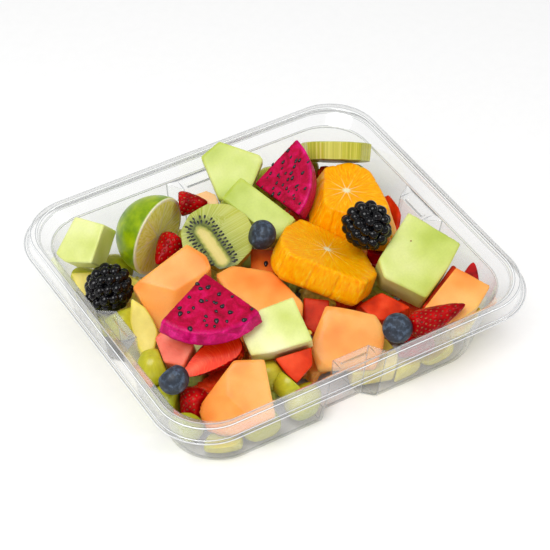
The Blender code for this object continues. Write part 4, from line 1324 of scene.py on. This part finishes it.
def tray_ring(inset, height, lug_share, dip, near_bend):
    """One level. On each side the lug's depth rises over its slanting flanks, eased at both ends.
    Gives the ring and how near each of its points lies to a bend."""
    radius = np.interp(inset, *RADIUS_BY_INSET)
    depth = lug_share * (LUG_DEPTH_FLOOR + (LUG_DEPTH_TOP - LUG_DEPTH_FLOOR) * height / LUG_TOP)
    half_x, half_y = RIM_LENGTH / 2 - inset, RIM_WIDTH / 2 - inset
    angle = np.radians(np.linspace(0, 90, 24)[1:-1])
    ring, bends = [], []
    for quarter in range(4):
        turn = np.array(Matrix.Rotation(math.radians(90 * quarter), 3, "Z"))
        forward, side = (half_x, half_y) if quarter % 2 == 0 else (half_y, half_x)
        far = LUG_COLUMNS[-1] + np.linspace(0, 1, 14)[1:] * (side - radius - LUG_COLUMNS[-1])
        across = np.concatenate([-far[::-1], -LUG_COLUMNS[:0:-1], LUG_COLUMNS, far])
        rise = np.clip((LUG_HALF_WALL - np.abs(across)) / (LUG_HALF_WALL - LUG_HALF_FACE), 0, 1)
        eased = 0.75 * rise + 0.25 * rise ** 2 * (3 - 2 * rise)
        in_slot = np.clip((LUG_HALF_FACE - 2.5 - np.abs(across)) / 0.6, 0, 1)
        straight = np.stack([forward - depth * eased, across, height - dip * in_slot], axis=1)
        corner = np.stack([forward - radius + radius * np.cos(angle),
                           side - radius + radius * np.sin(angle),
                           np.full_like(angle, height)], axis=1)
        ring.append(np.concatenate([straight, corner]) @ turn.T)
        # the lug's flank bends get a weaker mark, for their painted highlight and grey lines
        on_flank = np.isin(np.abs(across), (LUG_HALF_FACE, LUG_HALF_WALL)) * lug_share * FLANK_MARK
        bends.append(np.concatenate([np.maximum(on_flank, near_bend), np.full_like(angle, near_bend)]))
    return np.concatenate(ring), np.concatenate(bends)


def tray_mesh():
    """The floor's middle and all the levels joined by quads, open at the skirt's edge."""
    rings, bends = (list(parts) for parts in zip(*[tray_ring(*level) for level in tray_levels]))
    rings = [rings[0] * np.array([share, share, 1.0]) for share in (0.3, 0.65)] + rings
    bends = [bends[0] * 0, bends[0] * 0] + bends
    columns = len(rings[0])
    corners = np.concatenate([np.array([[0.0, 0.0, SECTION_START[1]]])] + rings)
    ring = np.arange(columns)
    after = (ring + 1) % columns
    faces = np.column_stack([np.zeros(columns, int), 1 + ring, 1 + after]).tolist()
    faces += ring_quads(len(rings), columns)
    mesh = bpy.data.meshes.new("tray_sheet")
    mesh.from_pydata((corners * MM).tolist(), [], faces)
    mesh.shade_smooth()
    near_bend = np.concatenate([[0.0], *bends]).astype(np.float32)
    mesh.attributes.new("mark", "FLOAT", "POINT").data.foreach_set("value", near_bend)
    return mesh


print("corners in one level:", len(tray_ring(*tray_levels[0])[0]))

# %% [markdown]
# The sheet is clear, so it shows by what it mirrors and by a little haze. Where one looks along
# it, it turns grey. At a bend the real sheet gathers light into a thin bright line with a grey one
# beside it. The finish paints both from the mark that each point carries: a painted highlight of
# white haze on the bend and a painted grey line beside it.

# %% Clear sheet


def clear_pet():
    """Clear PET sheet, thermoformed: hardly any colour, a faint milky haze and a glossy skin that
    mirrors more the flatter one looks along it. At each bend it has a painted white highlight line
    of haze and a painted grey line beside it. Lamp light passes straight through."""
    material = bpy.data.materials.new("clear_pet_sheet")
    material.use_nodes = True
    tree = material.node_tree
    tree.nodes.remove(tree.nodes["Principled BSDF"])
    place = add(tree, "TexCoord").outputs["Object"]
    flow = add(tree, "TexNoise", {"Vector": place, "Scale": 1 / (9 * MM), "Detail": 2.0})
    waves = add(tree, "Bump", {"Height": flow.outputs["Fac"], "Distance": 0.05 * MM, "Strength": 0.2})
    facing = add(tree, "LayerWeight", {"Blend": 0.5, "Normal": waves.outputs["Normal"]}).outputs["Facing"]
    tint = add(tree, "ValToRGB", {"Fac": facing},
               [(0.0, "#FFFFFF"), (0.75, "#FDFDFD"), (0.90, "#EEF0F1"), (0.96, "#B8BCC0"),
                (1.0, "#84888C")])
    bend = add(tree, "Attribute", attribute_name="mark").outputs["Fac"]
    # painted grey line: beside each bend the clear sheet is tinted darker
    painted_grey_line = add(tree, "ValToRGB", {"Fac": bend},
                [(0.10, "#FFFFFF"), (0.30, "#CACDD0"), (0.50, "#E6E8E9"), (0.70, "#FFFFFF")])
    both = add(tree, "VectorMath", {0: tint.outputs["Color"], 1: painted_grey_line.outputs["Color"]},
               operation="MULTIPLY")
    through = add(tree, "BsdfTransparent", {"Color": both.outputs["Vector"]})
    haze_and_painted_highlight = add(tree, "BsdfDiffuse", {"Color": linear("#F4F5F5")})
    milky = add(tree, "MapRange", {"Value": facing, "To Min": 0.02, "To Max": 0.05})
    # painted highlight: on each bend the sheet turns into white haze
    line = add(tree, "MapRange", {"Value": bend, "From Min": 0.40, "From Max": 0.90, "To Max": 0.85})
    white = add(tree, "Math", {0: milky.outputs["Result"], 1: line.outputs["Result"]}, operation="MAXIMUM")
    sheet = add(tree, "MixShader", {0: white.outputs[0], 1: through.outputs[0], 2: haze_and_painted_highlight.outputs[0]})
    gloss = add(tree, "BsdfGlossy", {"Color": (1.0, 1.0, 1.0, 1.0), "Roughness": 0.12,
                                     "Normal": waves.outputs["Normal"]})
    grazing = add(tree, "Math", {0: facing, 1: 4.0}, operation="POWER")
    mirror = add(tree, "MapRange", {"Value": grazing.outputs[0], "To Min": 0.05, "To Max": 0.90})
    seen = add(tree, "MixShader", {0: mirror.outputs["Result"], 1: sheet.outputs[0], 2: gloss.outputs[0]})
    path = add(tree, "LightPath")
    lamp_light = add(tree, "Math", {0: path.outputs["Is Shadow Ray"], 1: path.outputs["Is Diffuse Ray"]},
                     operation="MAXIMUM")
    clear = add(tree, "BsdfTransparent", {"Color": linear("#FAFAFA")})
    mixed = add(tree, "MixShader", {0: lamp_light.outputs[0], 1: seen.outputs[0], 2: clear.outputs[0]})
    tree.links.new(mixed.outputs[0], tree.nodes["Material Output"].inputs["Surface"])
    return material


tray = finish_piece("tray_sheet", tray_mesh(), clear_pet(), ["tray"])
thickness = tray.modifiers.new("sheet", "SOLIDIFY")
thickness.thickness = SHEET * MM
thickness.offset = 0
print("tray corners:", len(tray.data.vertices))
